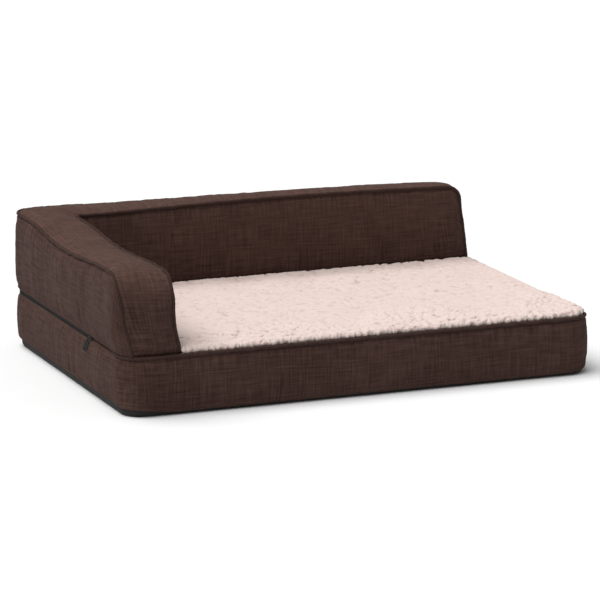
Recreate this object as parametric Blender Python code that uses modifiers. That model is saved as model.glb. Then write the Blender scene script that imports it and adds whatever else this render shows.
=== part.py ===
"""A foam bed for a pet: a boxed mattress with a fleece top, and an L-shaped bolster zipped along two sides.

The origin is on the floor under the middle of the bed. X runs along the bed's width, Y towards the back
rest and Z up. The arm of the bolster is on the left (-X) and the back rest is at +Y. Sizes are in metres.
"""

import math

import bmesh
import bpy
from mathutils import Vector

# Cover of the mattress
COVER_WIDTH = 0.892  # over the side panels
COVER_DEPTH = 0.632
BASE_HEIGHT = 0.105  # floor to the seam along the mattress's top edge
CORNER_RADIUS = 0.040  # upright corners of the mattress and of the bolster's outside
CLOTH = 0.002  # linen-look cloth with its backing
LINING = 0.001
PIPING_RADIUS = 0.004
FLEECE_THICKNESS = 0.012
BOTTOM_CLOTH = 0.0015
BOTTOM_LIP = 0.010  # how far the bottom cloth turns up

# Foam of the mattress
FOAM_EASE = 0.0004  # room between the foam and the piping or slider, whichever is deeper
SLAB_TOP = 0.072
CRATE_PITCH = 0.026  # from a peak to the next valley
CRATE_SWING = 0.007  # height of a peak over the mean

# Bolster
BED_HEIGHT = 0.246  # floor to the seams along the bolster's top
BOLSTER_THICKNESS = 0.100
BOLSTER_SETBACK = 0.008  # from the mattress's front and right faces to the bolster's ends
ARM_FRONT_RADIUS = 0.045
BACK_END_RADIUS = 0.035
INNER_CORNER_RADIUS = 0.018

# Zip fastener
ZIP_SETBACK = 0.180  # from the mattress's front face to the closed end
ZIP_BACK_MARGIN = 0.020  # from the right rear corner's curve to the other end, on the back
ZIP_SLOT = 0.011  # between the cloth edges on each side of the chain
TAPE_WIDTH = 0.014
TAPE_THICKNESS = 0.0006
TAPE_TAIL = 0.012  # tape beyond the end stops
CHAIN_GAP = 0.0012  # between the two rows, where the slider's neck passes
COIL_WIDTH = 0.0026
COIL_HEIGHT = 0.0018
STOP_LENGTH = 0.004
SLIDER_LENGTH = 0.012
SLIDER_PLATE = 0.0009
SLIDER_FLANGE = 0.0010
SLIDER_NECK = 0.0006
BAR_RADIUS = 0.0006
BAR_LENGTH = 0.007
RING_RADIUS = 0.0018
RING_WIRE = 0.0006
PULL_WIDTH = 0.007
PULL_LENGTH = 0.028
PULL_THICKNESS = 0.0014

GAP = 0.0003  # between pieces that touch
ARC_STEPS = 6

X_SIDE = COVER_WIDTH / 2
Y_SIDE = COVER_DEPTH / 2
PIPING_ROOM = PIPING_RADIUS + GAP
BOLSTER_FRONT = -Y_SIDE + BOLSTER_SETBACK
BOLSTER_END = X_SIDE - BOLSTER_SETBACK
ARM_INSIDE = -X_SIDE + BOLSTER_THICKNESS
BACK_INSIDE = Y_SIDE - BOLSTER_THICKNESS
DECK = BASE_HEIGHT - PIPING_RADIUS - GAP  # top of the mattress's foam and side panels
BOLSTER_BOTTOM = DECK + 2 * GAP + LINING
PANEL_FOOT = BASE_HEIGHT + ZIP_SLOT / 2  # lower edge of the bolster's outer panels
STRIP_FOOT = BASE_HEIGHT + PIPING_ROOM  # lower ends of the bolster's top strips
ZIP_FRONT = -Y_SIDE + ZIP_SETBACK
ZIP_BACK_END = CORNER_RADIUS + ZIP_BACK_MARGIN
PANEL_SEAM = ZIP_FRONT - TAPE_TAIL - STOP_LENGTH
SIDE_SEAM = Y_SIDE - CORNER_RADIUS  # where the right panel's seams are, from the middle
CORNER_SEAM = CORNER_RADIUS - X_SIDE  # where the left panels meet the back ones
TAPE_DEPTH = CLOTH + GAP  # from the cover's outside to the tapes
COIL_DEPTH = TAPE_DEPTH - GAP - COIL_HEIGHT
SLIDER_BACK = TAPE_DEPTH + TAPE_THICKNESS + GAP + SLIDER_PLATE
FOAM_INSET = max(PIPING_RADIUS, SLIDER_BACK) + FOAM_EASE
SLIDER_HALF = CHAIN_GAP / 2 + COIL_WIDTH + GAP + SLIDER_FLANGE
SLIDER_FACE = COIL_DEPTH - GAP - SLIDER_PLATE
BAR_X = -X_SIDE + SLIDER_FACE - RING_RADIUS - RING_WIRE - GAP
SLIDER_Y = ZIP_FRONT + GAP + SLIDER_LENGTH / 2

BED = bpy.data.collections.new("pet_bed")
CUTTERS = bpy.data.collections.new("pet_bed_cutters")


def clear_scene():
    """Removes every object, and links the bed's two collections to the scene."""
    for obj in list(bpy.data.objects):
        bpy.data.objects.remove(obj, do_unlink=True)
    for collection in (BED, CUTTERS):
        bpy.context.scene.collection.children.link(collection)


def finish(name, colour, roughness, metallic=0.0):
    """A material with one colour, roughness and metallic value."""
    material = bpy.data.materials.new(name)
    material.use_nodes = True
    shader = material.node_tree.nodes["Principled BSDF"]
    shader.inputs["Base Color"].default_value = (*colour, 1.0)
    shader.inputs["Roughness"].default_value = roughness
    shader.inputs["Metallic"].default_value = metallic
    return material


LINEN = finish("linen", (0.060, 0.035, 0.029), 0.9)
PIPING = finish("piping", (0.045, 0.024, 0.019), 0.85)
FLEECE = finish("fleece", (0.80, 0.66, 0.60), 1.0)
NONSLIP = finish("nonslip", (0.020, 0.021, 0.020), 0.8)
LINING_CLOTH = finish("lining", (0.55, 0.53, 0.50), 0.95)
FOAM = finish("foam", (0.76, 0.72, 0.58), 1.0)
ZIP_CLOTH = finish("zip_tape", (0.018, 0.016, 0.015), 0.85)
ZIP_PLASTIC = finish("zip_coil", (0.015, 0.014, 0.013), 0.45)
ZIP_METAL = finish("zip_metal", (0.030, 0.030, 0.031), 0.4, 1.0)


def rounded(corners, closed=False):
    """The points of a path through (a, b, radius) corners, with an arc at each right-angled corner."""
    points = []
    for i, (a, b, radius) in enumerate(corners):
        here = Vector((a, b))
        if not radius or (not closed and i in (0, len(corners) - 1)):
            points.append(here)
            continue
        before = (Vector(corners[i - 1][:2]) - here).normalized() * radius
        after = (Vector(corners[(i + 1) % len(corners)][:2]) - here).normalized() * radius
        for step in range(ARC_STEPS + 1):
            turn = math.pi / 2 * step / ARC_STEPS
            points.append(here + before * (1 - math.sin(turn)) + after * (1 - math.cos(turn)))
    repeats = {i for i in range(1, len(points)) if (points[i] - points[i - 1]).length < GAP / 10}
    return [point for i, point in enumerate(points) if i not in repeats]


def cover_corner(x_sign, y_sign, inset=0.0):
    """A corner of the mattress cover's plan, moved in from its side panels."""
    return (x_sign * (X_SIDE - inset), y_sign * (Y_SIDE - inset), CORNER_RADIUS - inset)


def cover_plan(inset=0.0):
    """The rounded outline of the mattress, counter-clockwise from the front left corner."""
    signs = ((-1, -1), (1, -1), (1, 1), (-1, 1))
    return rounded([cover_corner(x, y, inset) for x, y in signs], closed=True)


def add(name, data, material, collection=BED):
    """An object of this data in a collection."""
    obj = bpy.data.objects.new(name, data)
    data.materials.append(material)
    collection.objects.link(obj)
    return obj


def take_primitive():
    """The primitive that was just added, moved to the bed's collection."""
    obj = bpy.context.object
    for collection in obj.users_collection:
        collection.objects.unlink(obj)
    BED.objects.link(obj)
    return obj


TURNS = {"XY": (0, 0, 0), "YZ": (math.pi / 2, 0, math.pi / 2), "XZ": (math.pi / 2, 0, 0)}
ACROSS = {"XY": Vector((0, 0, 1)), "YZ": Vector((1, 0, 0)), "XZ": Vector((0, 1, 0))}


def as_mesh(curve_obj):
    """The same shape as a welded mesh object, in place of the curve."""
    bpy.context.view_layer.update()
    graph = bpy.context.evaluated_depsgraph_get()
    mesh = bpy.data.meshes.new_from_object(curve_obj.evaluated_get(graph))
    bm = bmesh.new()
    bm.from_mesh(mesh)
    bmesh.ops.remove_doubles(bm, verts=bm.verts, dist=1e-6)
    bm.to_mesh(mesh)
    bm.free()
    name, place, holder = curve_obj.name, curve_obj.matrix_world.copy(), curve_obj.users_collection[0]
    bpy.data.objects.remove(curve_obj, do_unlink=True)
    obj = bpy.data.objects.new(name, mesh)
    obj.matrix_world = place
    holder.objects.link(obj)
    return obj


def prism(name, outline, plane, low, high, material):
    """A flat outline in a plane, given thickness from low to high across it."""
    curve = bpy.data.curves.new(name, "CURVE")
    curve.dimensions = "2D"
    curve.fill_mode = "BOTH"
    curve.extrude = (high - low) / 2
    spline = curve.splines.new("POLY")
    spline.points.add(len(outline) - 1)
    for point, (a, b) in zip(spline.points, outline):
        point.co = (a, b, 0, 1)
    spline.use_cyclic_u = True
    obj = add(name, curve, material)
    obj.rotation_euler = TURNS[plane]
    obj.location = ACROSS[plane] * (low + high) / 2
    return as_mesh(obj)


def strip(name, path, across, thickness, material):
    """A band of cloth: a path swept by a vector, and thickened towards its inside.

    The path's direction crossed with the vector points to the outside.
    """
    mesh = bpy.data.meshes.new(name)
    bm = bmesh.new()
    verts = [bm.verts.new(point) for point in path]
    edges = [bm.edges.new(pair) for pair in zip(verts, verts[1:])]
    swept = bmesh.ops.extrude_edge_only(bm, edges=edges)["geom"]
    new_verts = [item for item in swept if isinstance(item, bmesh.types.BMVert)]
    bmesh.ops.translate(bm, verts=new_verts, vec=across)
    bm.normal_update()
    outward = (path[1] - path[0]).cross(across)
    first = min(bm.faces, key=lambda face: (face.calc_center_median() - path[0]).length)
    if first.normal.dot(outward) < 0:
        bmesh.ops.reverse_faces(bm, faces=bm.faces)
    bm.to_mesh(mesh)
    bm.free()
    obj = add(name, mesh, material)
    shell = obj.modifiers.new("thickness", "SOLIDIFY")
    shell.thickness = thickness
    shell.offset = -1
    shell.use_even_offset = True
    return obj


def wall(name, plan, low, high, thickness, material):
    """An upright strip over a plan path that runs counter-clockwise round the bed."""
    path = [Vector((x, y, low)) for x, y in plan]
    return strip(name, path, Vector((0, 0, high - low)), thickness, material)


def tube(name, points, radius, material, detail=2):
    """A round bar along points, with filled ends."""
    curve = bpy.data.curves.new(name, "CURVE")
    curve.dimensions = "3D"
    curve.bevel_depth = radius
    curve.bevel_resolution = detail
    curve.use_fill_caps = True
    spline = curve.splines.new("POLY")
    spline.points.add(len(points) - 1)
    for point, place in zip(spline.points, points):
        point.co = (*place, 1)
    return add(name, curve, material)


def combine(obj, other, operation):
    """Keeps, cuts away or joins another mesh object, which goes to the cutters."""
    if other.name in BED.objects:
        BED.objects.unlink(other)
        CUTTERS.objects.link(other)
    other.hide_render = True
    other.display_type = "WIRE"
    cut = obj.modifiers.new(operation.lower(), "BOOLEAN")
    cut.operation = operation
    cut.solver = "EXACT"
    cut.object = other
    return obj


def base_panels():
    """The four side panels of the mattress, between the turned-up bottom cloth and the top seams."""
    foot = BOTTOM_LIP + GAP
    under_zip = BASE_HEIGHT - ZIP_SLOT / 2
    left_start, right_start = (-X_SIDE, PANEL_SEAM, 0), (X_SIDE, -SIDE_SEAM, 0)
    front = rounded([left_start, cover_corner(-1, -1), cover_corner(1, -1), right_start])
    right = [(X_SIDE, GAP - SIDE_SEAM), (X_SIDE, SIDE_SEAM - GAP)]
    back_end = (CORNER_SEAM + GAP, Y_SIDE, 0)
    back = rounded([(X_SIDE, SIDE_SEAM, 0), cover_corner(1, 1), back_end])
    left_end = (-X_SIDE, PANEL_SEAM + GAP, 0)
    left = rounded([(CORNER_SEAM, Y_SIDE, 0), cover_corner(-1, 1), left_end])
    wall("base_front_panel", front, foot, DECK, CLOTH, LINEN)
    wall("base_right_panel", right, foot, DECK, CLOTH, LINEN)
    wall("base_back_panel", back, foot, under_zip, CLOTH, LINEN)
    wall("base_left_panel", left, foot, under_zip, CLOTH, LINEN)


def bottom_panel():
    """Black non-slip cloth under the mattress, turned up all round."""
    bm = bmesh.new()
    floor = bm.faces.new([bm.verts.new((x, y, 0)) for x, y in reversed(cover_plan())])
    swept = bmesh.ops.extrude_edge_only(bm, edges=floor.edges)["geom"]
    new_verts = [item for item in swept if isinstance(item, bmesh.types.BMVert)]
    bmesh.ops.translate(bm, verts=new_verts, vec=(0, 0, BOTTOM_LIP))
    bmesh.ops.recalc_face_normals(bm, faces=bm.faces)
    bm.normal_update()
    bm.faces.ensure_lookup_table()
    if bm.faces[0].normal.z > 0:
        bmesh.ops.reverse_faces(bm, faces=bm.faces)
    mesh = bpy.data.meshes.new("nonslip_bottom_panel")
    bm.to_mesh(mesh)
    bm.free()
    obj = add("nonslip_bottom_panel", mesh, NONSLIP)
    shell = obj.modifiers.new("thickness", "SOLIDIFY")
    shell.thickness = BOTTOM_CLOTH
    shell.offset = -1
    shell.use_even_offset = True


def mattress_foam():
    """The flat slab and the convoluted layer on it, whose peaks just reach under the fleece."""
    plan = cover_plan(FOAM_INSET)
    prism("base_foam_slab", plan, "XY", BOTTOM_CLOTH + GAP, SLAB_TOP, FOAM)
    width, depth = COVER_WIDTH, COVER_DEPTH
    columns, rows = round(width / CRATE_PITCH), round(depth / CRATE_PITCH)
    bpy.ops.mesh.primitive_grid_add(x_subdivisions=columns, y_subdivisions=rows, size=1)
    grid = take_primitive()
    grid.name = grid.data.name = "egg_crate_foam"
    grid.data.materials.append(FOAM)
    bm = bmesh.new()
    bm.from_mesh(grid.data)
    mean = DECK - CRATE_SWING
    for vert in bm.verts:
        column, row = round((vert.co.x + 0.5) * columns), round((vert.co.y + 0.5) * rows)
        swing = CRATE_SWING if (column + row) % 2 else -CRATE_SWING
        vert.co = (vert.co.x * width, vert.co.y * depth, mean + swing)
    bmesh.ops.triangulate(bm, faces=bm.faces)
    rim = [edge for edge in bm.edges if edge.is_boundary]
    swept = bmesh.ops.extrude_edge_only(bm, edges=rim)["geom"]
    for vert in (item for item in swept if isinstance(item, bmesh.types.BMVert)):
        vert.co.z = SLAB_TOP + GAP
    bmesh.ops.holes_fill(bm, edges=[edge for edge in bm.edges if edge.is_boundary])
    bmesh.ops.recalc_face_normals(bm, faces=bm.faces)
    bm.to_mesh(grid.data)
    bm.free()
    trim = prism("egg_crate_outline", plan, "XY", 0, BED_HEIGHT, FOAM)
    combine(grid, trim, "INTERSECT")


def top_panels():
    """The fleece over the open part of the mattress, and the lining under the bolster."""
    low = DECK + GAP
    fleece = rounded(
        [
            (ARM_INSIDE + GAP, PIPING_ROOM - Y_SIDE, 0),
            cover_corner(1, -1, PIPING_ROOM),
            (X_SIDE - PIPING_ROOM, BACK_INSIDE - GAP, 0),
            (ARM_INSIDE + GAP, BACK_INSIDE - GAP, INNER_CORNER_RADIUS - GAP),
        ],
        closed=True,
    )
    prism("fleece_top_panel", fleece, "XY", low, low + FLEECE_THICKNESS, FLEECE)
    lining = rounded(
        [
            cover_corner(-1, -1, FOAM_INSET),
            (ARM_INSIDE, FOAM_INSET - Y_SIDE, 0),
            (ARM_INSIDE, BACK_INSIDE, 0),
            (BOLSTER_END, BACK_INSIDE, 0),
            (BOLSTER_END, Y_SIDE - FOAM_INSET, CORNER_RADIUS - FOAM_INSET),
            cover_corner(-1, 1, FOAM_INSET),
        ],
        closed=True,
    )
    prism("bolster_lining", lining, "XY", low, low + LINING, LINING_CLOTH)


def arm_profile(inset, low):
    """The arm from the side: front face, round top corner and top, moved in by an inset."""
    front, top, back = BOLSTER_FRONT + inset, BED_HEIGHT - inset, Y_SIDE + CLOTH
    return [(back, low, 0), (back, top, 0), (front, top, ARM_FRONT_RADIUS - inset), (front, low, 0)]


def back_profile(inset, low):
    """The back rest from the front: top, round right corner and end, moved in by an inset."""
    end, top, start = BOLSTER_END - inset, BED_HEIGHT - inset, -X_SIDE - CLOTH
    return [(start, low, 0), (start, top, 0), (end, top, BACK_END_RADIUS - inset), (end, low, 0)]


def bolster_foam():
    """The arm's block runs the whole depth, and the back rest's block butts against it."""
    inset, low = FOAM_INSET, BOLSTER_BOTTOM + GAP
    arm_plan = rounded(
        [
            cover_corner(-1, -1, inset),
            (ARM_INSIDE - inset, inset - Y_SIDE, 0),
            (ARM_INSIDE - inset, Y_SIDE - inset, 0),
            cover_corner(-1, 1, inset),
        ],
        closed=True,
    )
    arm = prism("arm_foam_core", arm_plan, "XY", low, BED_HEIGHT, FOAM)
    profile = rounded(arm_profile(inset, 0), closed=True)
    combine(arm, prism("arm_side", profile, "YZ", -COVER_WIDTH, COVER_WIDTH, FOAM), "INTERSECT")
    profile = back_profile(inset, low)
    start = ARM_INSIDE - inset + GAP
    profile = rounded([(start, low, 0), (start, profile[1][1], 0)] + profile[2:], closed=True)
    prism("back_foam_core", profile, "XZ", BACK_INSIDE + inset, Y_SIDE - inset, FOAM)


def bolster_panels():
    """Outer and inner side panels of the arm and of the back rest."""
    arm_cut = rounded(arm_profile(PIPING_ROOM, 0), closed=True)
    back_cut = rounded(back_profile(PIPING_ROOM, 0), closed=True)
    arm_side = prism("arm_panel_side", arm_cut, "YZ", -COVER_WIDTH, COVER_WIDTH, LINEN)
    back_side = prism("back_panel_side", back_cut, "XZ", -COVER_DEPTH, COVER_DEPTH, LINEN)
    inner_start = BACK_INSIDE - INNER_CORNER_RADIUS
    arm_outside = rounded([(CORNER_SEAM, Y_SIDE, 0), cover_corner(-1, 1), (-X_SIDE, -Y_SIDE, 0)])
    back_outside = [(X_SIDE, Y_SIDE), (CORNER_SEAM + GAP, Y_SIDE)]
    arm_inside = [(ARM_INSIDE, -Y_SIDE), (ARM_INSIDE, inner_start - GAP)]
    corner = (ARM_INSIDE, BACK_INSIDE, INNER_CORNER_RADIUS)
    back_inside = rounded([(ARM_INSIDE, inner_start, 0), corner, (X_SIDE, BACK_INSIDE, 0)])
    for name, plan, foot, side in (
        ("arm_outer_panel", arm_outside, PANEL_FOOT, arm_side),
        ("arm_inner_panel", arm_inside, BOLSTER_BOTTOM, arm_side),
        ("back_outer_panel", back_outside, PANEL_FOOT, back_side),
        ("back_inner_panel", back_inside, BOLSTER_BOTTOM, back_side),
    ):
        combine(wall(name, plan, foot, BED_HEIGHT, CLOTH, LINEN), side, "INTERSECT")


def top_strips():
    """The bands along the bolster's top: the arm's starts up its front face, the back's ends down its end."""
    low, inside = STRIP_FOOT, ARM_INSIDE - PIPING_ROOM
    turn = (BOLSTER_FRONT, BED_HEIGHT, ARM_FRONT_RADIUS)
    profile = [(BOLSTER_FRONT, low, 0), turn, (Y_SIDE, BED_HEIGHT, 0)]
    path = [Vector((inside, y, z)) for y, z in rounded(profile)]
    width = BOLSTER_THICKNESS - 2 * PIPING_ROOM
    arm = strip("arm_top_strip", path, Vector((-BOLSTER_THICKNESS, 0, 0)), CLOTH, LINEN)
    plan = rounded(
        [
            (-X_SIDE + PIPING_ROOM, -Y_SIDE, 0),
            (X_SIDE, -Y_SIDE, 0),
            (X_SIDE, Y_SIDE - PIPING_ROOM, 0),
            cover_corner(-1, 1, PIPING_ROOM),
        ],
        closed=True,
    )
    combine(arm, prism("arm_strip_plan", plan, "XY", 0, 2 * BED_HEIGHT, LINEN), "INTERSECT")
    turn = (BOLSTER_END, BED_HEIGHT, BACK_END_RADIUS)
    profile = [(inside + GAP, BED_HEIGHT, 0), turn, (BOLSTER_END, low, 0)]
    path = [Vector((x, BACK_INSIDE + PIPING_ROOM, z)) for x, z in rounded(profile)]
    strip("back_top_strip", path, Vector((0, width, 0)), CLOTH, LINEN)


def pipings():
    """Piping round the mattress's free top edge and along both edges of the bolster's top strips."""
    ends = (-X_SIDE, CORNER_RADIUS - Y_SIDE, 0), (X_SIDE, SIDE_SEAM, 0)
    plan = rounded([ends[0], cover_corner(-1, -1), cover_corner(1, -1), ends[1]])
    tube("base_top_piping", [(x, y, BASE_HEIGHT) for x, y in plan], PIPING_RADIUS, PIPING)
    above_fleece = DECK + 2 * GAP + FLEECE_THICKNESS
    for name, x_side, y_side, radius, foot in (
        ("bolster_outer_piping", -X_SIDE, Y_SIDE, CORNER_RADIUS, PANEL_FOOT),
        ("bolster_inner_piping", ARM_INSIDE, BACK_INSIDE, INNER_CORNER_RADIUS, above_fleece),
    ):
        arm_turn = (BOLSTER_FRONT, BED_HEIGHT, ARM_FRONT_RADIUS)
        front = [(BOLSTER_FRONT, foot, 0), arm_turn, (y_side - radius, BED_HEIGHT, 0)]
        corner = [(x_side, y_side - radius, 0), (x_side, y_side, radius), (x_side + radius, y_side, 0)]
        end_turn = (BOLSTER_END, BED_HEIGHT, BACK_END_RADIUS)
        end = [(x_side + radius, BED_HEIGHT, 0), end_turn, (BOLSTER_END, foot, 0)]
        points = [(x_side, y, z) for y, z in rounded(front)]
        points += [(x, y, BED_HEIGHT) for x, y in rounded(corner)[1:]]
        points += [(x, y_side, z) for x, z in rounded(end)[1:]]
        tube(name, points, PIPING_RADIUS, PIPING)


def zip_plan(depth, front, end):
    """The zip's route from its end on the back, round the corner, to its front end on the left side."""
    start = (X_SIDE - end, Y_SIDE - depth, 0)
    return rounded([start, cover_corner(-1, 1, depth), (depth - X_SIDE, front, 0)])


def zip_chain():
    """Two tapes, a row of coil on the edge of each, and a stop at each end."""
    tail = STOP_LENGTH + TAPE_TAIL
    tape = zip_plan(TAPE_DEPTH, ZIP_FRONT - tail, ZIP_BACK_END - tail)
    coil = zip_plan(COIL_DEPTH, ZIP_FRONT, ZIP_BACK_END)
    above, below = BASE_HEIGHT + CHAIN_GAP / 2, BASE_HEIGHT - CHAIN_GAP / 2
    wall("zip_upper_tape", tape, above, above + TAPE_WIDTH, TAPE_THICKNESS, ZIP_CLOTH)
    wall("zip_lower_tape", tape, below - TAPE_WIDTH, below, TAPE_THICKNESS, ZIP_CLOTH)
    wall("zip_upper_coil", coil, above, above + COIL_WIDTH, COIL_HEIGHT, ZIP_PLASTIC)
    wall("zip_lower_coil", coil, below - COIL_WIDTH, below, COIL_HEIGHT, ZIP_PLASTIC)
    front = ZIP_FRONT - GAP - STOP_LENGTH
    zip_stop("zip_front_stop", COIL_DEPTH - X_SIDE, front, COIL_HEIGHT, STOP_LENGTH)
    back = Y_SIDE - COIL_DEPTH - COIL_HEIGHT
    zip_stop("zip_back_stop", X_SIDE - ZIP_BACK_END + GAP, back, STOP_LENGTH, COIL_HEIGHT)


def zip_stop(name, x, y, width, depth):
    """A metal clamp over both rows at an end of the chain, with its near left corner at x, y."""
    half = CHAIN_GAP / 2 + COIL_WIDTH
    plan = [(x, y), (x + width, y), (x + width, y + depth), (x, y + depth)]
    prism(name, plan, "XY", BASE_HEIGHT - half, BASE_HEIGHT + half, ZIP_METAL)


def zip_slider():
    """The slider: an outer plate with side flanges, a neck between the rows and a plate behind the tapes."""
    face, plate = -X_SIDE + SLIDER_FACE, SLIDER_PLATE
    flange = -X_SIDE + TAPE_DEPTH - GAP
    behind = -X_SIDE + TAPE_DEPTH + TAPE_THICKNESS + GAP
    half, inner, neck = SLIDER_HALF, SLIDER_HALF - SLIDER_FLANGE, SLIDER_NECK / 2
    upper = [
        (behind + plate, inner),
        (behind, inner),
        (behind, neck),
        (face + plate, neck),
        (face + plate, inner),
        (flange, inner),
        (flange, half),
        (face, half),
    ]
    section = upper + [(x, -z) for x, z in reversed(upper)]
    outline = [(x, BASE_HEIGHT + z) for x, z in section]
    low, high = SLIDER_Y - SLIDER_LENGTH / 2, SLIDER_Y + SLIDER_LENGTH / 2
    body = prism("zip_slider", outline, "XZ", low, high, ZIP_METAL)
    foot, reach = face + plate / 2, BAR_LENGTH / 2
    arch = [(foot, -reach), (BAR_X, -reach), (BAR_X, reach), (foot, reach)]
    points = [(x, SLIDER_Y + y, BASE_HEIGHT) for x, y in arch]
    bar = as_mesh(tube("slider_bar", points, BAR_RADIUS, ZIP_METAL))
    combine(body, bar, "UNION")


def zip_pull():
    """The pull: a ring round the slider's bar and a flat tab that hangs from it."""
    axis = bpy.data.objects.new("pull_axis", None)
    axis.location = (BAR_X, SLIDER_Y, BASE_HEIGHT)
    BED.objects.link(axis)
    bpy.ops.mesh.primitive_torus_add(
        major_radius=RING_RADIUS,
        minor_radius=RING_WIRE,
        major_segments=16,
        minor_segments=8,
        location=axis.location,
        rotation=TURNS["XZ"],
    )
    ring = take_primitive()
    half, top = PULL_WIDTH / 2, BASE_HEIGHT - RING_RADIUS
    left, right, tip = SLIDER_Y - half, SLIDER_Y + half, top - PULL_LENGTH
    corners = [(left, tip), (right, tip), (right, top), (left, top)]
    outline = rounded([(y, z, half / 2) for y, z in corners], closed=True)
    tab = prism("zip_pull", outline, "YZ", BAR_X - PULL_THICKNESS / 2, BAR_X + PULL_THICKNESS / 2, ZIP_METAL)
    combine(tab, ring, "UNION")
    bpy.context.view_layer.update()
    tab.parent = axis
    tab.matrix_parent_inverse = axis.matrix_world.inverted()


clear_scene()
base_panels()
bottom_panel()
mattress_foam()
top_panels()
bolster_foam()
bolster_panels()
top_strips()
pipings()
zip_chain()
zip_slider()
zip_pull()
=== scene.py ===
import math

import bpy
import numpy as np
from mathutils import Matrix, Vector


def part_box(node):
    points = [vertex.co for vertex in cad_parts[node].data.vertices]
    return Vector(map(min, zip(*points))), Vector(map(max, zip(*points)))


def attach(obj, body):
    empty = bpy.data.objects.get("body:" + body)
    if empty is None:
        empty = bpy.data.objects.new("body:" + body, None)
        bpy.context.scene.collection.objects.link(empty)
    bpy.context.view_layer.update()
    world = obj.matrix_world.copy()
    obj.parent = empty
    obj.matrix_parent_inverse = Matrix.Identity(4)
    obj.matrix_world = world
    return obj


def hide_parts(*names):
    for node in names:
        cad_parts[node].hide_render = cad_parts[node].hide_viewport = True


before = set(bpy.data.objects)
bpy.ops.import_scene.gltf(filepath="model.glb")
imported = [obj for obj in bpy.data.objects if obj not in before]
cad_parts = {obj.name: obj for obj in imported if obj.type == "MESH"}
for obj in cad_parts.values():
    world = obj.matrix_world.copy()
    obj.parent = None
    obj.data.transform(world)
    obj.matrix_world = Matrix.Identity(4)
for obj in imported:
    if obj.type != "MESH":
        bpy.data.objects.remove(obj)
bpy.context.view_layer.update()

bl_info = {
    "name": "Pet bed with zipped bolster",
    "version": (1, 0, 0),
    "blender": (4, 5, 0),
    "location": "3D View > Sidebar > Pet Bed",
    "description": "Builds the cloth, fleece, foam and zip of an L-shaped foam bed for a pet",
    "category": "Add Mesh",
}

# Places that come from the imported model, in metres
GAP = 0.0003
X_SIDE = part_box("base_right_panel")[1].x
Y_SIDE = -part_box("base_front_panel")[0].y
PIPING_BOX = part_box("base_top_piping")
BASE_HEIGHT = (PIPING_BOX[0].z + PIPING_BOX[1].z) / 2
PIPING_ROOM = (PIPING_BOX[1].z - PIPING_BOX[0].z) / 2 + GAP
BED_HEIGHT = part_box("arm_top_strip")[1].z
BOLSTER_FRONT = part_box("arm_top_strip")[0].y
BOLSTER_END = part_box("back_top_strip")[1].x
ARM_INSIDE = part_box("arm_inner_panel")[1].x
BACK_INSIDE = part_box("back_top_strip")[0].y - PIPING_ROOM
INNER_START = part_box("arm_inner_panel")[1].y
PANEL_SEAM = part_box("base_left_panel")[0].y
SIDE_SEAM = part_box("base_right_panel")[1].y
CORNER_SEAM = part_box("back_outer_panel")[0].x
CORNER_RADIUS = Y_SIDE - SIDE_SEAM
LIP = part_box("nonslip_bottom_panel")[1].z
ZIP_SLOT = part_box("arm_outer_panel")[0].z - BASE_HEIGHT
FLEECE_LOW, FLEECE_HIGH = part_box("fleece_top_panel")
TAPE_LOW, TAPE_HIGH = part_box("zip_upper_tape")
COIL_LOW, COIL_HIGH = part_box("zip_upper_coil")
INNER_RADIUS = BACK_INSIDE - INNER_START
ARM_FRONT_RADIUS = 0.045
BACK_END_RADIUS = 0.024

# Sizes that several pieces share, in metres
SEAM_GAP = 0.0008  # from the middle of the mattress's top seam to the cloth, where there is no zip
ZIP_OPENING = 0.76 * ZIP_SLOT - 2 * SEAM_GAP  # how much farther the cloth stays away beside the zip
CORNER_INSET = 0.0045  # from the cover's round corners to what lies inside it
EDGE_STEP = 0.0035  # between two points of a piping's line
SIM_STEP = 0.006  # cells of the cloth that is simulated

FRAMES = 20  # of the cloth simulation
START_SHARE, MOVE_SHARE = 0.7, 0.45  # of a bulge: computed before the simulation, and the most that it may add
STITCH_ROW = 2  # rows of the fine grid from a seam to its stitches
FINISH = "bed "  # sets the finishes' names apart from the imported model's
TAU = 2 * math.pi


# ---------------------------------------------------------------- settings


class BedSizes(bpy.types.PropertyGroup):
    """Sizes of the soft parts that the frame leaves open."""

    base_bulge: bpy.props.FloatProperty(
        name="Mattress bulge", description="How far the side panels stand out", default=0.0055,
        subtype="DISTANCE", unit="LENGTH")
    bolster_bulge: bpy.props.FloatProperty(
        name="Bolster bulge", description="How far the bolster's panels stand out", default=0.0075,
        subtype="DISTANCE", unit="LENGTH")
    top_crown: bpy.props.FloatProperty(
        name="Top crown", description="Rise of the bolster's top between its pipings", default=0.0075,
        subtype="DISTANCE", unit="LENGTH")
    cloth_thickness: bpy.props.FloatProperty(
        name="Cloth thickness", description="Linen-look cloth with its backing", default=0.0012,
        subtype="DISTANCE", unit="LENGTH")
    piping_radius: bpy.props.FloatProperty(
        name="Piping radius", description="Cord and the cloth round it", default=0.0031,
        subtype="DISTANCE", unit="LENGTH")
    pucker: bpy.props.FloatProperty(
        name="Seam pucker", description="Height of the small waves along the seams", default=0.00020,
        subtype="DISTANCE", unit="LENGTH")
    fold: bpy.props.FloatProperty(
        name="Soft folds", description="Height of the long folds in the side panels", default=0.0008,
        subtype="DISTANCE", unit="LENGTH")
    pile: bpy.props.FloatProperty(
        name="Pile height", description="Length of the fleece's curls at the front edge", default=0.0118,
        subtype="DISTANCE", unit="LENGTH")
    stitch: bpy.props.FloatProperty(
        name="Stitch length", description="Distance between two needle holes", default=0.0036,
        subtype="DISTANCE", unit="LENGTH")
    weave: bpy.props.FloatProperty(
        name="Thread spacing", description="From one thread of the cloth to the next", default=0.0011,
        subtype="DISTANCE", unit="LENGTH", precision=5)


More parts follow.
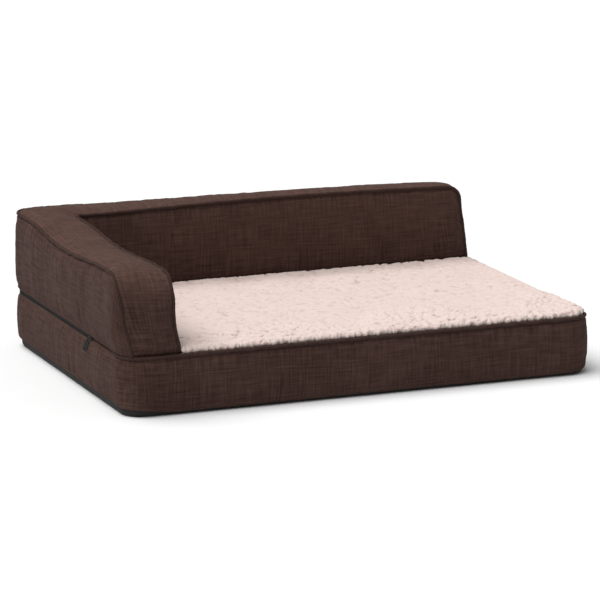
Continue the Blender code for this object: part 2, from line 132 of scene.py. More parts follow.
class BedColours(bpy.types.PropertyGroup):
    """Colours of the finishes, in linear light."""

    linen_dark: bpy.props.FloatVectorProperty(
        name="Linen, dark yarn", description="Darkest yarn of the brown cloth",
        default=(0.031, 0.0152, 0.0122), subtype="COLOR", min=0, max=1)
    linen_light: bpy.props.FloatVectorProperty(
        name="Linen, light yarn", description="Lightest yarn of the brown cloth",
        default=(0.118, 0.0660, 0.0530), subtype="COLOR", min=0, max=1)
    piping: bpy.props.FloatVectorProperty(
        name="Piping", description="Cloth round the piping cord", default=(0.052, 0.029, 0.024),
        subtype="COLOR", min=0, max=1)
    fleece_tip: bpy.props.FloatVectorProperty(
        name="Fleece, tips", description="Ends of the curls", default=(0.70, 0.580, 0.535),
        subtype="COLOR", min=0, max=1)
    # The hollows' colour is the roots' own pinker tone darkened with painted shade.
    fleece_root_and_shade: bpy.props.FloatVectorProperty(
        name="Fleece, roots", description="Hollows between the curls", default=(0.36, 0.215, 0.178),
        subtype="COLOR", min=0, max=1)
    black: bpy.props.FloatVectorProperty(
        name="Black cloth", description="Non-slip bottom cloth and the zip's tapes",
        default=(0.013, 0.014, 0.013), subtype="COLOR", min=0, max=1)
    foam: bpy.props.FloatVectorProperty(
        name="Foam", description="Foam blocks", default=(0.74, 0.69, 0.54),
        subtype="COLOR", min=0, max=1)


# ---------------------------------------------------------------- numpy shapes


def unit(vectors):
    """Each vector divided by its length."""
    return vectors / np.maximum(np.linalg.norm(vectors, axis=-1, keepdims=True), 1e-12)


def smooth(t):
    """0 below 0, 1 above 1, and 3t^2 - 2t^3 between."""
    t = np.clip(t, 0, 1)
    return t * t * (3 - 2 * t)


def lengths(points):
    """Distance along a line of points, from its first one."""
    steps = np.linalg.norm(np.diff(points, axis=0), axis=1)
    return np.concatenate([[0.0], np.cumsum(steps)])


def read_off(marks, run, points):
    """Rows of an array at given running lengths, straight between its own rows."""
    return np.stack([np.interp(marks, run, column) for column in points.T], -1)


def even(points, spacing=None, count=None):
    """The same line with points an equal distance apart, read off by its running length."""
    run = lengths(points)
    count = count or max(2, int(round(run[-1] / spacing)) + 1)
    return read_off(np.linspace(0, run[-1], count), run, points)


def rounded(corners, closed=False):
    """Straight runs joined by quarter circles.

    A circle is here + before (1 - sin t) + after (1 - cos t), with t from 0 to 90 degrees.
    """
    parts = []
    for i, (a, b, radius) in enumerate(corners):
        here = np.array((a, b), float)
        if not radius or (not closed and i in (0, len(corners) - 1)):
            parts.append(here[None])
            continue
        before = unit(np.array(corners[i - 1][:2]) - here) * radius
        after = unit(np.array(corners[(i + 1) % len(corners)][:2]) - here) * radius
        t = np.linspace(0, math.pi / 2, 19)[:, None]
        parts.append(here + before * (1 - np.sin(t)) + after * (1 - np.cos(t)))
    points = np.concatenate(parts)
    if closed:
        points = np.vstack([points, points[:1]])
    keep = np.concatenate([[True], np.linalg.norm(np.diff(points, axis=0), axis=1) > 1e-7])
    return points[keep]


def cover_corner(x_sign, y_sign, inset=0.0):
    """A corner of the mattress's plan, moved in from its side panels."""
    return (x_sign * (X_SIDE - inset), y_sign * (Y_SIDE - inset), CORNER_RADIUS - inset)


def raised(plan, height):
    """A flat line of points lifted to a height, which may be a number or one number for each point."""
    return np.column_stack([plan, np.broadcast_to(height, len(plan))])


def normals_of(grid, wrap=False):
    """Unit normals of a grid of points: the slope along u crossed with the slope along v."""
    if wrap:
        du = np.roll(grid, -1, 0) - np.roll(grid, 1, 0)
    else:
        du = np.gradient(grid, axis=0)
    return unit(np.cross(du, np.gradient(grid, axis=1)))


def waves(seed, u, v, wavelength, spread, slant, count=14):
    """Sum of plane waves sin(2 pi (u cos a + v sin a) / w + p) with random w, a and p, of unit spread."""
    random = np.random.default_rng(seed)
    total = np.zeros(np.broadcast(u, v).shape)
    for _ in range(count):
        width = wavelength * (1 + spread * random.uniform(-1, 1))
        angle = slant * random.normal()
        total += np.sin(TAU * (u * math.cos(angle) + v * math.sin(angle)) / width + random.uniform(0, TAU))
    return total / math.sqrt(count / 2)


def refine(grid, wrap=False):
    """Twice as many cells each way: a new point is (9 (b + c) - a - d) / 16 of the four round it in its row."""
    for axis in (0, 1):
        grid = np.moveaxis(grid, axis, 0)
        if wrap and axis == 0:
            a, b, c, d = (np.roll(grid, k, 0) for k in (1, 0, -1, -2))
            between = (9 * (b + c) - a - d) / 16
            fine = np.stack([grid, between], 1).reshape(-1, *grid.shape[1:])
        else:
            padded = np.concatenate([2 * grid[:1] - grid[1:2], grid, 2 * grid[-1:] - grid[-2:-1]])
            a, b, c, d = padded[:-3], padded[1:-2], padded[2:-1], padded[3:]
            fine = np.empty((2 * len(grid) - 1, *grid.shape[1:]))
            fine[::2], fine[1::2] = grid, (9 * (b + c) - a - d) / 16
        grid = np.moveaxis(fine, 0, axis)
    return grid


def grid_faces(columns, rows, wrap_u=False, wrap_v=False):
    """Corner numbers of a grid's quads, and the same corners in a grid that doesn't wrap, for the UV map."""
    i, j = np.meshgrid(np.arange(columns - (not wrap_u)), np.arange(rows - (not wrap_v)), indexing="ij")
    around = ((i, j), (i + 1, j), (i + 1, j + 1), (i, j + 1))
    faces = np.stack([a % columns * rows + b % rows for a, b in around], -1).reshape(-1, 4)
    flat = np.stack([a * (rows + 1) + b for a, b in around], -1).reshape(-1, 4)
    return faces, flat


def grid_rim(columns, rows):
    """One face that closes a grid from below, round its four edges."""
    number = np.arange(columns * rows).reshape(columns, rows)
    loop = np.concatenate([number[:-1, 0], number[-1, :-1], number[:0:-1, -1], number[0, :0:-1]])
    return loop[::-1][None]


def end_caps(columns, rows):
    """The first and the last column of a grid as one face each."""
    ends = np.arange(rows)
    return [ends[None], ((columns - 1) * rows + ends)[::-1][None]]


def facing_out(points, faces):
    """The faces, all reversed if they enclose a negative volume: a sum of corner triple products."""
    volume = 0.0
    for part in faces:
        for k in range(1, part.shape[1] - 1):
            a, b, c = points[part[:, 0]], points[part[:, k]], points[part[:, k + 1]]
            volume += np.einsum("ij,ij->", a, np.cross(b, c))
    return [part[:, ::-1] for part in faces] if volume < 0 else faces


def closed(grid, loop=False):
    """Points and outward faces of a grid that wraps along its rows, capped at both ends unless it is a loop."""
    size = grid.shape[:2]
    faces, _ = grid_faces(*size, wrap_u=loop, wrap_v=True)
    points = grid.reshape(-1, 3)
    return points, facing_out(points - points.mean(0), [faces] if loop else [faces, *end_caps(*size)])


def solid(name, points, faces, look, uv=None, marks=None):
    """A mesh object from an array of points and a list of face arrays, put in with foreach_set."""
    mesh = bpy.data.meshes.new(name)
    faces = faces if isinstance(faces, list) else [faces]
    corners = np.concatenate([f.ravel() for f in faces]).astype(np.int32)
    sizes = np.concatenate([np.full(len(f), f.shape[1]) for f in faces])
    mesh.vertices.add(len(points))
    mesh.vertices.foreach_set("co", np.asarray(points, np.float32).ravel())
    mesh.loops.add(len(corners))
    mesh.loops.foreach_set("vertex_index", corners)
    mesh.polygons.add(len(sizes))
    mesh.polygons.foreach_set("loop_start", (np.cumsum(sizes) - sizes).astype(np.int32))
    mesh.update(calc_edges=True)
    if uv is not None:
        layer = mesh.uv_layers.new(name="cloth")
        layer.data.foreach_set("uv", np.asarray(uv, np.float32).ravel())
    for key, values in (marks or {}).items():
        attribute = mesh.attributes.new(key, "FLOAT", "POINT")
        attribute.data.foreach_set("value", np.asarray(values, np.float32).ravel())
    mesh.validate()
    mesh.shade_smooth()
    piece = bpy.data.objects.new(name, mesh)
    bpy.context.scene.collection.objects.link(piece)
    if look:
        mesh.materials.append(bpy.data.materials[FINISH + look])
    return piece


def surface(name, grid, look, roll=False, marks=None):
    """A grid of points as a mesh: an open sheet, or a roll that wraps along its rows and has a cap at each end.

    Its UV map holds the running lengths, in metres, along its middle row and column.
    """
    columns, rows = grid.shape[:2]
    faces, flat = grid_faces(columns, rows, wrap_v=roll)
    along, across = grid[:, rows // 2], grid[columns // 2]
    u = lengths(np.vstack([along, along[:1]]))
    v = lengths(np.vstack([across, across[:1]]))
    spread = np.stack(np.meshgrid(u, v, indexing="ij"), -1).reshape(-1, 2)
    uv = spread[flat].reshape(-1, 2)
    if roll:
        faces = [faces, *end_caps(columns, rows)]
        uv = np.vstack([uv, np.tile(spread[flat[:1, 0]], (2 * rows, 1))])
    return solid(name, grid.reshape(-1, 3), faces, look, uv, marks)


def lidded(name, grid, look, marks=None):
    """A grid of points as a mesh with one face underneath, so that it is closed."""
    size = grid.shape[:2]
    return solid(name, grid.reshape(-1, 3), [grid_faces(*size)[0], grid_rim(*size)], look, marks=marks)


def tube(points, side, radius, sides=12):
    """A round bar: points + radius (cos t n - sin t b), with b square to the line and to a side vector."""
    direction = unit(np.gradient(points, axis=0))
    b = unit(np.cross(direction, side))
    n = np.cross(b, direction)
    t = np.arange(sides) / sides * TAU
    radius = np.broadcast_to(radius, len(points))[:, None, None]
    ring = np.cos(t)[None, :, None] * n[:, None] - np.sin(t)[None, :, None] * b[:, None]
    return points[:, None] + radius * ring


def thicken(piece, thickness):
    """Gives a sheet its thickness, inwards from the side that it shows."""
    shell = piece.modifiers.new("thickness", "SOLIDIFY")
    shell.thickness = thickness
    shell.offset = -1
    return piece


def copies(shape, faces, frames, centres):
    """Many copies of a small shape: its points times each frame (n, 3, 3) plus each centre (n, 3)."""
    points = np.einsum("pk,nkj->npj", shape, frames) + centres[:, None]
    shift = (np.arange(len(centres)) * len(shape))[:, None, None]
    return points.reshape(-1, 3), [(f[None] + shift).reshape(-1, f.shape[1]) for f in faces]


def capsule(length, radius, sides=6):
    """A short thread with round ends along the first axis: radius sqrt(1 - (x / half)^4)."""
    x = np.linspace(-1, 1, 5)
    girth = radius * np.maximum(1 - x**4, 0.12) ** 0.5
    t = np.arange(sides) / sides * TAU
    ring = np.stack(np.broadcast_arrays(0 * t, np.cos(t), np.sin(t)), -1)
    points = ring[None] * girth[:, None, None]
    points[..., 0] = (x * length / 2)[:, None]
    return closed(points)


def stitch_row(name, line, outward, radius=0.00042):
    """A row of stitches on a cloth: one thread for each stitch length along a line that lies on it."""
    spacing = bpy.context.scene.bed_sizes.stitch
    run = lengths(line)
    marks = np.linspace(0, run[-1], int(run[-1] / spacing) + 1)
    holes, up = read_off(marks, run, line), unit(read_off(marks, run, outward)[1:])
    ahead = unit(holes[1:] - holes[:-1])
    frames = np.stack([ahead, np.cross(up, ahead), up], 1)
    centres = (holes[1:] + holes[:-1]) / 2 + up * radius * 0.35
    points, faces = copies(*capsule(spacing * 0.78, radius), frames, centres)
    settle_in(solid(name, points, faces, "thread"), "linen")


# ---------------------------------------------------------------- cloth under pressure


def inflate(grid, limit, wrap=False, pressure=6.0, slack=0.012):
    """Cloth simulation of a panel that is sewn fast along its seams and pressed out from inside.

    The move of each point is held under the limit by limit * tanh(move / limit).
    """
    columns, rows = grid.shape[:2]
    faces, _ = grid_faces(columns, rows, wrap_u=wrap)
    panel = solid("cloth_panel", grid.reshape(-1, 3), faces, None)
    sewn = np.zeros((columns, rows), bool)
    sewn[:, 0] = sewn[:, -1] = True
    if not wrap:
        sewn[0] = sewn[-1] = True
    group = panel.vertex_groups.new(name="seams")
    group.add(np.flatnonzero(sewn).tolist(), 1.0, "REPLACE")
    cloth = panel.modifiers.new("cloth", "CLOTH")
    settings = cloth.settings
    settings.quality = 6
    settings.mass = 0.0012
    settings.tension_stiffness = settings.compression_stiffness = 4.0
    settings.shear_stiffness = 1.5
    settings.bending_stiffness = 0.02
    settings.air_damping = 1.5
    settings.shrink_min = -slack
    settings.use_pressure = True
    settings.uniform_pressure_force = pressure
    settings.vertex_group_mass = group.name
    settings.effector_weights.gravity = 0
    cloth.collision_settings.use_collision = False
    cloth.point_cache.frame_start, cloth.point_cache.frame_end = 1, FRAMES
    scene = bpy.context.scene
    for number in range(1, FRAMES + 1):
        scene.frame_set(number)
    shown = panel.evaluated_get(bpy.context.evaluated_depsgraph_get())
    moved = np.empty(grid.size, np.float32)
    shown.data.vertices.foreach_get("co", moved)
    mesh = panel.data
    bpy.data.objects.remove(panel, do_unlink=True)
    bpy.data.meshes.remove(mesh)
    scene.frame_set(1)
    move = moved.reshape(grid.shape) - grid
    if not np.isfinite(move).all() or np.abs(move).max() < 1e-5:
        raise RuntimeError("the cloth simulation of a panel didn't run")
    distance = np.linalg.norm(move, axis=-1, keepdims=True)
    return grid + move * limit * np.tanh(distance / limit) / np.maximum(distance, 1e-9)


def sewn_panel(low, high, bulge, tuck, seed, wrap=False, slack=0.012, folds=1.0):
    """A stretch of cloth between two seams, as a fine grid of points and its distances from the seams.

    Then it is drawn in at both seams by tuck * exp(-distance / 3.5 mm), and gets waves that die away from
    the seams and long folds.
    """
    sizes = bpy.context.scene.bed_sizes
    rows = int(np.linalg.norm(high - low, axis=1).max() / SIM_STEP) + 1
    v = np.linspace(0, 1, rows)[:, None]
    grid = low[:, None] * (1 - v) + high[:, None] * v
    outward = normals_of(grid, wrap)
    height = np.linalg.norm(high - low, axis=1)[:, None]
    from_low, from_high = v[:, 0][None] * height, (1 - v[:, 0])[None] * height
    low_tuck, high_tuck = (np.reshape(depth, (-1, 1)) for depth in tuck)
    ends = np.minimum(np.arange(len(grid)), np.arange(len(grid))[::-1]) * SIM_STEP
    share = 1.0 if wrap else smooth(ends / 0.03)[:, None]
    start = START_SHARE * bulge
    grid = grid + outward * (start * share * np.sqrt(np.maximum(4 * v * (1 - v), 0)).T)[..., None]
    grid = inflate(grid, MOVE_SHARE * bulge, wrap, slack=slack)
    pull = low_tuck * np.exp(-from_low / 0.0035) + high_tuck * np.exp(-from_high / 0.0035)
    grid = grid - outward * pull[..., None]
    grid = refine(grid, wrap)
    outward = normals_of(grid, wrap)
    v = np.linspace(0, 1, grid.shape[1])[None]
    middle = grid[:, grid.shape[1] // 2]
    u = lengths(middle)[:, None]
    height = np.linalg.norm(grid[:, -1] - grid[:, 0], axis=1)[:, None]
    near = np.minimum(v, 1 - v) * height
    pucker = waves(seed, u, v * height, 0.013, 0.35, 0.15) * np.exp(-near / 0.007) * smooth(near / 0.004)
    patch = smooth(0.35 + 0.55 * waves(seed + 3, u, v * height, 0.30, 0.4, 0.5))
    fold = waves(seed + 1, u, v * height, 0.052, 0.5, 0.25) * smooth(near / 0.03) * folds * patch
    broad = waves(seed + 2, u, v * height, 0.16, 0.4, 0.6) * smooth(near / 0.03)
    grid = grid + outward * (sizes.pucker * pucker + sizes.fold * (0.55 * fold + 0.6 * broad))[..., None]
    return grid, near


def corner_depth(past):
    """How far a round corner is in from the side at a distance d past its start: R - sqrt(R^2 - d^2)."""
    past = np.clip(past, 0, 0.97 * CORNER_RADIUS)
    return CORNER_RADIUS - np.sqrt(CORNER_RADIUS**2 - past**2)


def settle(points):
    """How the soft bolster gives: its arm leans at the front and sinks in the middle, and its back rest rises.

    Every move is a product of smooth steps in x, y and z, and is nothing at the zip. At the front left and the
    back right the foot follows the mattress's round corner.
    """
    moved = points.copy()
    x, y, z = points[..., 0], points[..., 1], points[..., 2]
    rise = smooth((z - BASE_HEIGHT) / (BED_HEIGHT - BASE_HEIGHT))
    front = 1 - smooth((y - BOLSTER_FRONT) / 0.17)
    arm = 1 - smooth((x - ARM_INSIDE) / 0.07)
    across = np.clip((x + X_SIDE) / (ARM_INSIDE + X_SIDE), 0, 1)
    corner_in = corner_depth(-y - SIDE_SEAM)
    stretch = np.clip((y - BOLSTER_FRONT) / (BACK_INSIDE - BOLSTER_FRONT), 0, 1)
    dip = np.sin(math.pi * stretch**1.1) ** 2
    moved[..., 0] += arm * (1 - rise) * ((1 - across) * corner_in + across * front * 0.004)
    moved[..., 0] -= arm * (front * 0.0078 * smooth((z - 0.105) / 0.06) + dip * rise * 0.004)
    arm_lift = 0.007 * smooth((stretch - 0.7) / 0.3) - 0.0085 * dip + 0.008 * (1 - across) * (1 - stretch)
    back = smooth((y - BACK_INSIDE + 0.05) / 0.05)
    depth = smooth((y - BACK_INSIDE) / (Y_SIDE - BACK_INSIDE))
    inner_corner = arm * across * smooth((y - 0.09) / 0.12) * (1 - depth) * rise
    moved[..., 0] -= 0.010 * inner_corner
    moved[..., 1] += 0.005 * inner_corner
    span = np.clip((x - ARM_INSIDE) / (BOLSTER_END - ARM_INSIDE), 0, 1)
    hump = np.sin(math.pi * span)
    moved[..., 1] -= (1 - arm) * back * depth * (1 - rise) * corner_depth(x - X_SIDE + CORNER_RADIUS)
    inner_lift = 0.006 + 0.0065 * hump
    outer_lift = 0.005 * (1 - span) ** 2 + 0.002 * hump - 0.005 * span**2
    back_lift = (1 - depth) * inner_lift + depth * outer_lift
    moved[..., 2] += rise**2 * (arm * arm_lift + (1 - arm) * back * back_lift)
    moved[..., 0] -= (1 - arm) * back * (0.005 + 0.015 * rise) * smooth((x - 0.22) / 0.2)
    return moved


# ---------------------------------------------------------------- finishes


class Signal:
    """A shader socket that sums can be written with: each operation on it adds a Math node."""

    def __init__(self, tree, socket):
        self.tree, self.socket = tree, socket

    def math(self, operation, *values):
        return add_node(self.tree, "ShaderNodeMath", {"operation": operation}, dict(enumerate(values)))

    def __add__(self, other):
        return self.math("ADD", self, other)

    def __sub__(self, other):
        return self.math("SUBTRACT", self, other)

    def __rsub__(self, other):
        return self.math("SUBTRACT", other, self)

    def __mul__(self, other):
        return self.math("MULTIPLY", self, other)

    def __pow__(self, other):
        return self.math("POWER", self, other)

    def __gt__(self, other):
        return self.math("GREATER_THAN", self, other)

    __radd__, __rmul__ = __add__, __mul__

    def sine(self):
        return self.math("SINE", self)

    def size(self):
        return self.math("ABSOLUTE", self)

    def clipped(self, low=0.0, high=1.0):
        return add_node(self.tree, "ShaderNodeClamp", None, {0: self, 1: low, 2: high})


def add_node(tree, kind, settings=None, values=None, output=0):
    """Any node: its settings first, a ramp's stops among them, and then the values or links of its sockets."""
    node = tree.nodes.new(kind)
    for key, setting in (settings or {}).items():
        if key == "stops":
            ramp = node.color_ramp.elements
            while len(ramp) < len(setting):
                ramp.new(0.5)
            for stop, (place, colour) in zip(ramp, setting):
                stop.position, stop.color = place, (*colour, 1.0)
        else:
            setattr(node, key, setting)
    for key, value in (values or {}).items():
        socket = node.inputs[key]
        if isinstance(value, Signal):
            tree.links.new(value.socket, socket)
        else:
            socket.default_value = (*value, 1.0) if getattr(socket, "type", "") == "RGBA" else value
    return Signal(tree, node.outputs[output])


def mix(tree, factor, first, second, blend="MIX"):
    """Two colours through a Mix node."""
    settings = {"data_type": "RGBA", "blend_type": blend}
    return add_node(tree, "ShaderNodeMix", settings, {0: factor, 6: first, 7: second}, output=2)


def noise(tree, place, scale, detail=2.0, roughness=0.5, distortion=0.0):
    values = {"Vector": place, "Scale": scale, "Detail": detail, "Roughness": roughness,
              "Distortion": distortion}
    return add_node(tree, "ShaderNodeTexNoise", None, values)


def stretched(tree, place, scales, shift=(0, 0, 0), turn=0.0):
    """A place moved, turned about Z and scaled by a Mapping node."""
    values = {"Vector": place, "Location": shift, "Rotation": (0, 0, turn), "Scale": scales}
    return add_node(tree, "ShaderNodeMapping", None, values)


def object_place(tree):
    return add_node(tree, "ShaderNodeTexCoord", None, None, output=3)


def cloth_place(tree):
    return add_node(tree, "ShaderNodeUVMap", {"uv_map": "cloth"})


def finish(name, colour, roughness, bump=None, depth=0.0003, strength=1.0, **constants):
    """A material: colour, roughness and relief vary over the surface, and the shader's constants are set."""
    tree = colour.tree
    shader = tree.nodes["Principled BSDF"]
    for key, value in constants.items():
        shader.inputs[key.replace("_", " ")].default_value = value
    tree.links.new(colour.socket, shader.inputs["Base Color"])
    if isinstance(roughness, Signal):
        tree.links.new(roughness.socket, shader.inputs["Roughness"])
    else:
        shader.inputs["Roughness"].default_value = roughness
    if bump is not None:
        values = {"Strength": strength, "Distance": depth, "Height": bump}
        relief = add_node(tree, "ShaderNodeBump", None, values)
        tree.links.new(relief.socket, shader.inputs["Normal"])
    return bpy.data.materials[FINISH + name]


def blank(name):
    material = bpy.data.materials.new(FINISH + name)
    material.use_nodes = True
    return material.node_tree


def scaled(colour, factor):
    return tuple(min(1.0, factor * part) for part in colour)


def mark(tree, name):
    """A number that the mesh holds at each of its points."""
    return add_node(tree, "ShaderNodeAttribute", {"attribute_name": name}, output=2)


def parts_of(tree, place):
    """The first two coordinates of a place."""
    first = add_node(tree, "ShaderNodeSeparateXYZ", None, {0: place})
    return first, Signal(tree, first.socket.node.outputs[1])


def weave(tree, place, spacing, wander=0.0009):
    """Height of a plain weave, |sin(pi u / s) sin(pi v / s)|^0.6, and which of the two yarns is on top."""
    wobble = noise(tree, place, 90.0, detail=1.0)
    first, second = parts_of(tree, place)
    u, v = first + (wobble - 0.5) * wander, second + (0.5 - wobble) * wander
    product = (u * (math.pi / spacing)).sine() * (v * (math.pi / spacing)).sine()
    return product.size() ** 0.6, product > 0.0


def linen_finish(name, dark, light, spacing, turn=0.0):
    """Brown linen-look cloth: a plain weave of uneven yarns, each yarn a streak of its own shade, made paler by
    a mesh mark that holds real wear and painted light.
    """
    tree = blank(name)
    place = cloth_place(tree)
    if turn:
        place = stretched(tree, place, (1, 1, 1), turn=turn)
    relief, over = weave(tree, place, spacing)
    along, across = (
        noise(tree, stretched(tree, place, scales, shift=shift), 1.0, detail=2.5, roughness=0.62)
        for scales, shift in (((34, 760, 1), (0, 0, 0)), ((760, 34, 1), (3, 7, 0))))
    slub_a, slub_b = (
        noise(tree, stretched(tree, place, scales, shift=shift), 1.0, detail=1.5)
        for scales, shift in (((17, 300, 1), (9, 2, 0)), ((300, 17, 1), (4, 5, 0))))
    yarn, slubs = over * along + (1 - over) * across, slub_a + slub_b
    broad = noise(tree, object_place(tree), 11.0, detail=3.0)
    # relief * 0.12 is painted shade at the weave's scale: paler thread crowns and darker gaps between the
    # threads; yarn, slubs and broad are the yarns' own tones.
    shade = (yarn - 0.5) * 0.95 + (slubs - 1.0) * 0.75 + (broad - 0.5) * 0.35 + relief * 0.12 + 0.27
    # The mesh mark adds real wear along seams and cut edges, and painted light: upper parts made paler, as if
    # lit from above.
    shade = (shade + mark(tree, "worn") * 0.30).clipped()
    colour = mix(tree, shade, dark, light)
    fleck = noise(tree, place, 1500.0, detail=0.0) > 0.73
    colour = mix(tree, fleck * 0.22, colour, scaled(light, 1.9))
    height = relief * 0.7 + slubs * 0.9 + (yarn - 0.5) * 0.5
    return finish(name, colour, 0.93 - 0.12 * shade, height, depth=0.00035, strength=0.7,
                  Sheen_Weight=0.02, Sheen_Roughness=0.4, Specular_IOR_Level=0.08)


def fleece_finish(name, tip, root_and_shade):
    """Curly pile: pale tips and darker, pinker hollows, by how high a point stands in the pile, with fine
    fibres. The hollows' colour is partly the roots' own pinker tone and partly painted shade.
    """
    tree = blank(name)
    place = object_place(tree)
    height = mark(tree, "pile")
    tint = noise(tree, place, 9.0, detail=2.0)
    fibre = noise(tree, place, 900.0, detail=3.0, roughness=0.7, distortion=1.2)
    curl = noise(tree, place, 240.0, detail=2.0, roughness=0.6, distortion=2.5)
    # share follows the height in the pile: low points get the darker hollow colour, which is partly painted
    # shade.
    share = (height * 1.4 + (curl - 0.5) * 0.4 + (fibre - 0.5) * 0.25 - 0.2).clipped()
    colour = mix(tree, share, root_and_shade, tip)
    colour = mix(tree, ((tint - 0.42) * 2.2).clipped() * 0.35, colour, (0.66, 0.50, 0.455))
    return finish(name, colour, 1.0, fibre * 0.5 + curl, depth=0.0011, strength=0.75,
                  Sheen_Weight=0.08, Sheen_Roughness=0.5, Specular_IOR_Level=0.05)


def foam_finish(name, colour):
    """Open-cell foam: a yellowish block with pores of two sizes, painted darker inside the pores as shade."""
    tree = blank(name)
    place = object_place(tree)
    pores = add_node(tree, "ShaderNodeTexVoronoi", None, {"Vector": place, "Scale": 420.0})
    broad = noise(tree, place, 14.0, detail=3.0)
    # Painted shade: darker towards the middle of each pore.
    shade = mix(tree, (pores * 1.4).clipped(), scaled(colour, 0.62), colour)
    shade = mix(tree, (broad * 0.4).clipped(), shade, scaled(colour, 0.85))
    return finish(name, shade, 0.95, pores + broad * 0.4, depth=0.0008, strength=0.6, Specular_IOR_Level=0.2)


def black_cloth_finish(name, black):
    """Black bottom cloth: a fine twill with a dusty bloom."""
    tree = blank(name)
    place = stretched(tree, object_place(tree), (1, 1, 1), turn=math.pi / 4)
    relief, over = weave(tree, place, 0.0012)
    dust = noise(tree, place, 26.0, detail=4.0, roughness=0.6)
    colour = mix(tree, (dust * 0.9 + over * 0.15 - 0.25).clipped(), black, scaled(black, 2.6))
    return finish(name, colour, 0.78 + dust * 0.15, relief, depth=0.0003, strength=0.6, Specular_IOR_Level=0.3)


def rubber_finish(name, black):
    """Rubber dots of the bottom cloth."""
    tree = blank(name)
    grain = noise(tree, object_place(tree), 700.0, detail=2.0)
    colour = mix(tree, grain, black, scaled(black, 1.8))
    return finish(name, colour, 0.45 + grain * 0.2, grain, depth=0.0001, strength=0.5)


def tape_finish(name, black):
    """Zip tape: ribs across the tape under a fine weave along it."""
    tree = blank(name)
    place = cloth_place(tree)
    relief, over = weave(tree, place, 0.0007, wander=0.0002)
    ribs = (parts_of(tree, place)[0] * (TAU / 0.0021)).sine() * 0.5 + 0.5
    wear = noise(tree, place, 60.0, detail=3.0)
    # The ribs' share is painted shade: paler on the ribs and darker between them; wear and over are the tape's
    # own tones.
    colour = mix(tree, (ribs * 0.3 + wear * 0.5 + over * 0.2).clipped(), black, scaled(black, 2.4))
    return finish(name, colour, 0.82, relief + ribs, depth=0.00025, strength=0.7, Specular_IOR_Level=0.25)


def plastic_finish(name, black):
    """Nylon coil: dark and a little glossy, with fine scuffs."""
    tree = blank(name)
    scuff = noise(tree, object_place(tree), 900.0, detail=3.0)
    colour = mix(tree, scuff, black, scaled(black, 2.2))
    return finish(name, colour, 0.36 + scuff * 0.2, scuff, depth=0.00008, strength=0.4)


def metal_finish(name, black):
    """Black-lacquered die-cast metal, rubbed paler where the pull and the slider wear."""
    tree = blank(name)
    place = object_place(tree)
    grain = noise(tree, place, 1300.0, detail=2.0)
    wear = ((noise(tree, place, 260.0, detail=4.0, roughness=0.7) - 0.56) * 9.0).clipped()
    colour = mix(tree, wear * 0.55, black, (0.16, 0.155, 0.15))
    return finish(name, colour, 0.38 + grain * 0.18 - wear * 0.1, grain + wear * 0.5, depth=0.0001,
                  strength=0.4, Metallic=0.7)


def thread_finish(name, dark):
    """Sewing thread: a fine twist along each stitch, with painted shade between its plies."""
    tree = blank(name)
    twist = add_node(tree, "ShaderNodeTexWave", {"bands_direction": "DIAGONAL"},
                     {"Vector": object_place(tree), "Scale": 900.0, "Distortion": 1.5})
    colour = mix(tree, twist, dark, scaled(dark, 2.1))
    return finish(name, colour, 0.6, twist, depth=0.0001, strength=0.6)


def floor_finish(name):
    """Pale studio floor with a faint unevenness."""
    tree = blank(name)
    haze = noise(tree, object_place(tree), 0.8, detail=2.0)
    colour = mix(tree, haze, (0.785, 0.785, 0.785), (0.805, 0.805, 0.805))
    return finish(name, colour, 0.7 + haze * 0.1, None, Specular_IOR_Level=0.2)


def make_finishes():
    """Every material, by name, from the colours in the scene's settings."""
    colours, sizes = bpy.context.scene.bed_colours, bpy.context.scene.bed_sizes
    dark, light, black, cord = (
        tuple(colour) for colour in (colours.linen_dark, colours.linen_light, colours.black, colours.piping))
    linen_finish("linen", dark, light, sizes.weave)
    linen_finish("piping", scaled(cord, 0.55), scaled(cord, 1.35), sizes.weave, turn=math.pi / 4)
    fleece_finish("fleece", tuple(colours.fleece_tip), tuple(colours.fleece_root_and_shade))
    black_cloth_finish("nonslip", black)
    rubber_finish("rubber", black)
    linen_finish("lining", (0.46, 0.44, 0.41), (0.62, 0.60, 0.57), 0.0013)
    foam_finish("foam", tuple(colours.foam))
    tape_finish("zip_tape", black)
    plastic_finish("zip_coil", scaled(black, 0.8))
    metal_finish("zip_metal", (0.024, 0.024, 0.025))
    thread_finish("thread", scaled(dark, 0.8))
    floor_finish("floor")


def settle_in(piece, slot, *nodes, body="bed"):
    """Says what a piece rides on and which nodes it stands for; slot is not used."""
    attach(piece, body)
    if nodes:
        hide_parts(*nodes)
    return piece


# ---------------------------------------------------------------- mattress


def zip_share(plan):
    """1 beside the zip and 0 elsewhere, with a smooth step at each of its ends."""
    front, back = TAPE_LOW.y + 0.002, TAPE_HIGH.x - 0.002
    return smooth((plan[:, 1] - front) / 0.012) * smooth((back - plan[:, 0]) / 0.012)


def joined(segments, spacing):
    """Plan lines end to end as evenly spaced points, with the numbers of the points where they meet."""
    points, cuts = [], [0]
    for segment in segments:
        part = even(segment, spacing=spacing)
        points.append(part[:-1])
        cuts.append(cuts[-1] + len(part) - 1)
    points.append(part[-1:])
    return np.concatenate(points), cuts


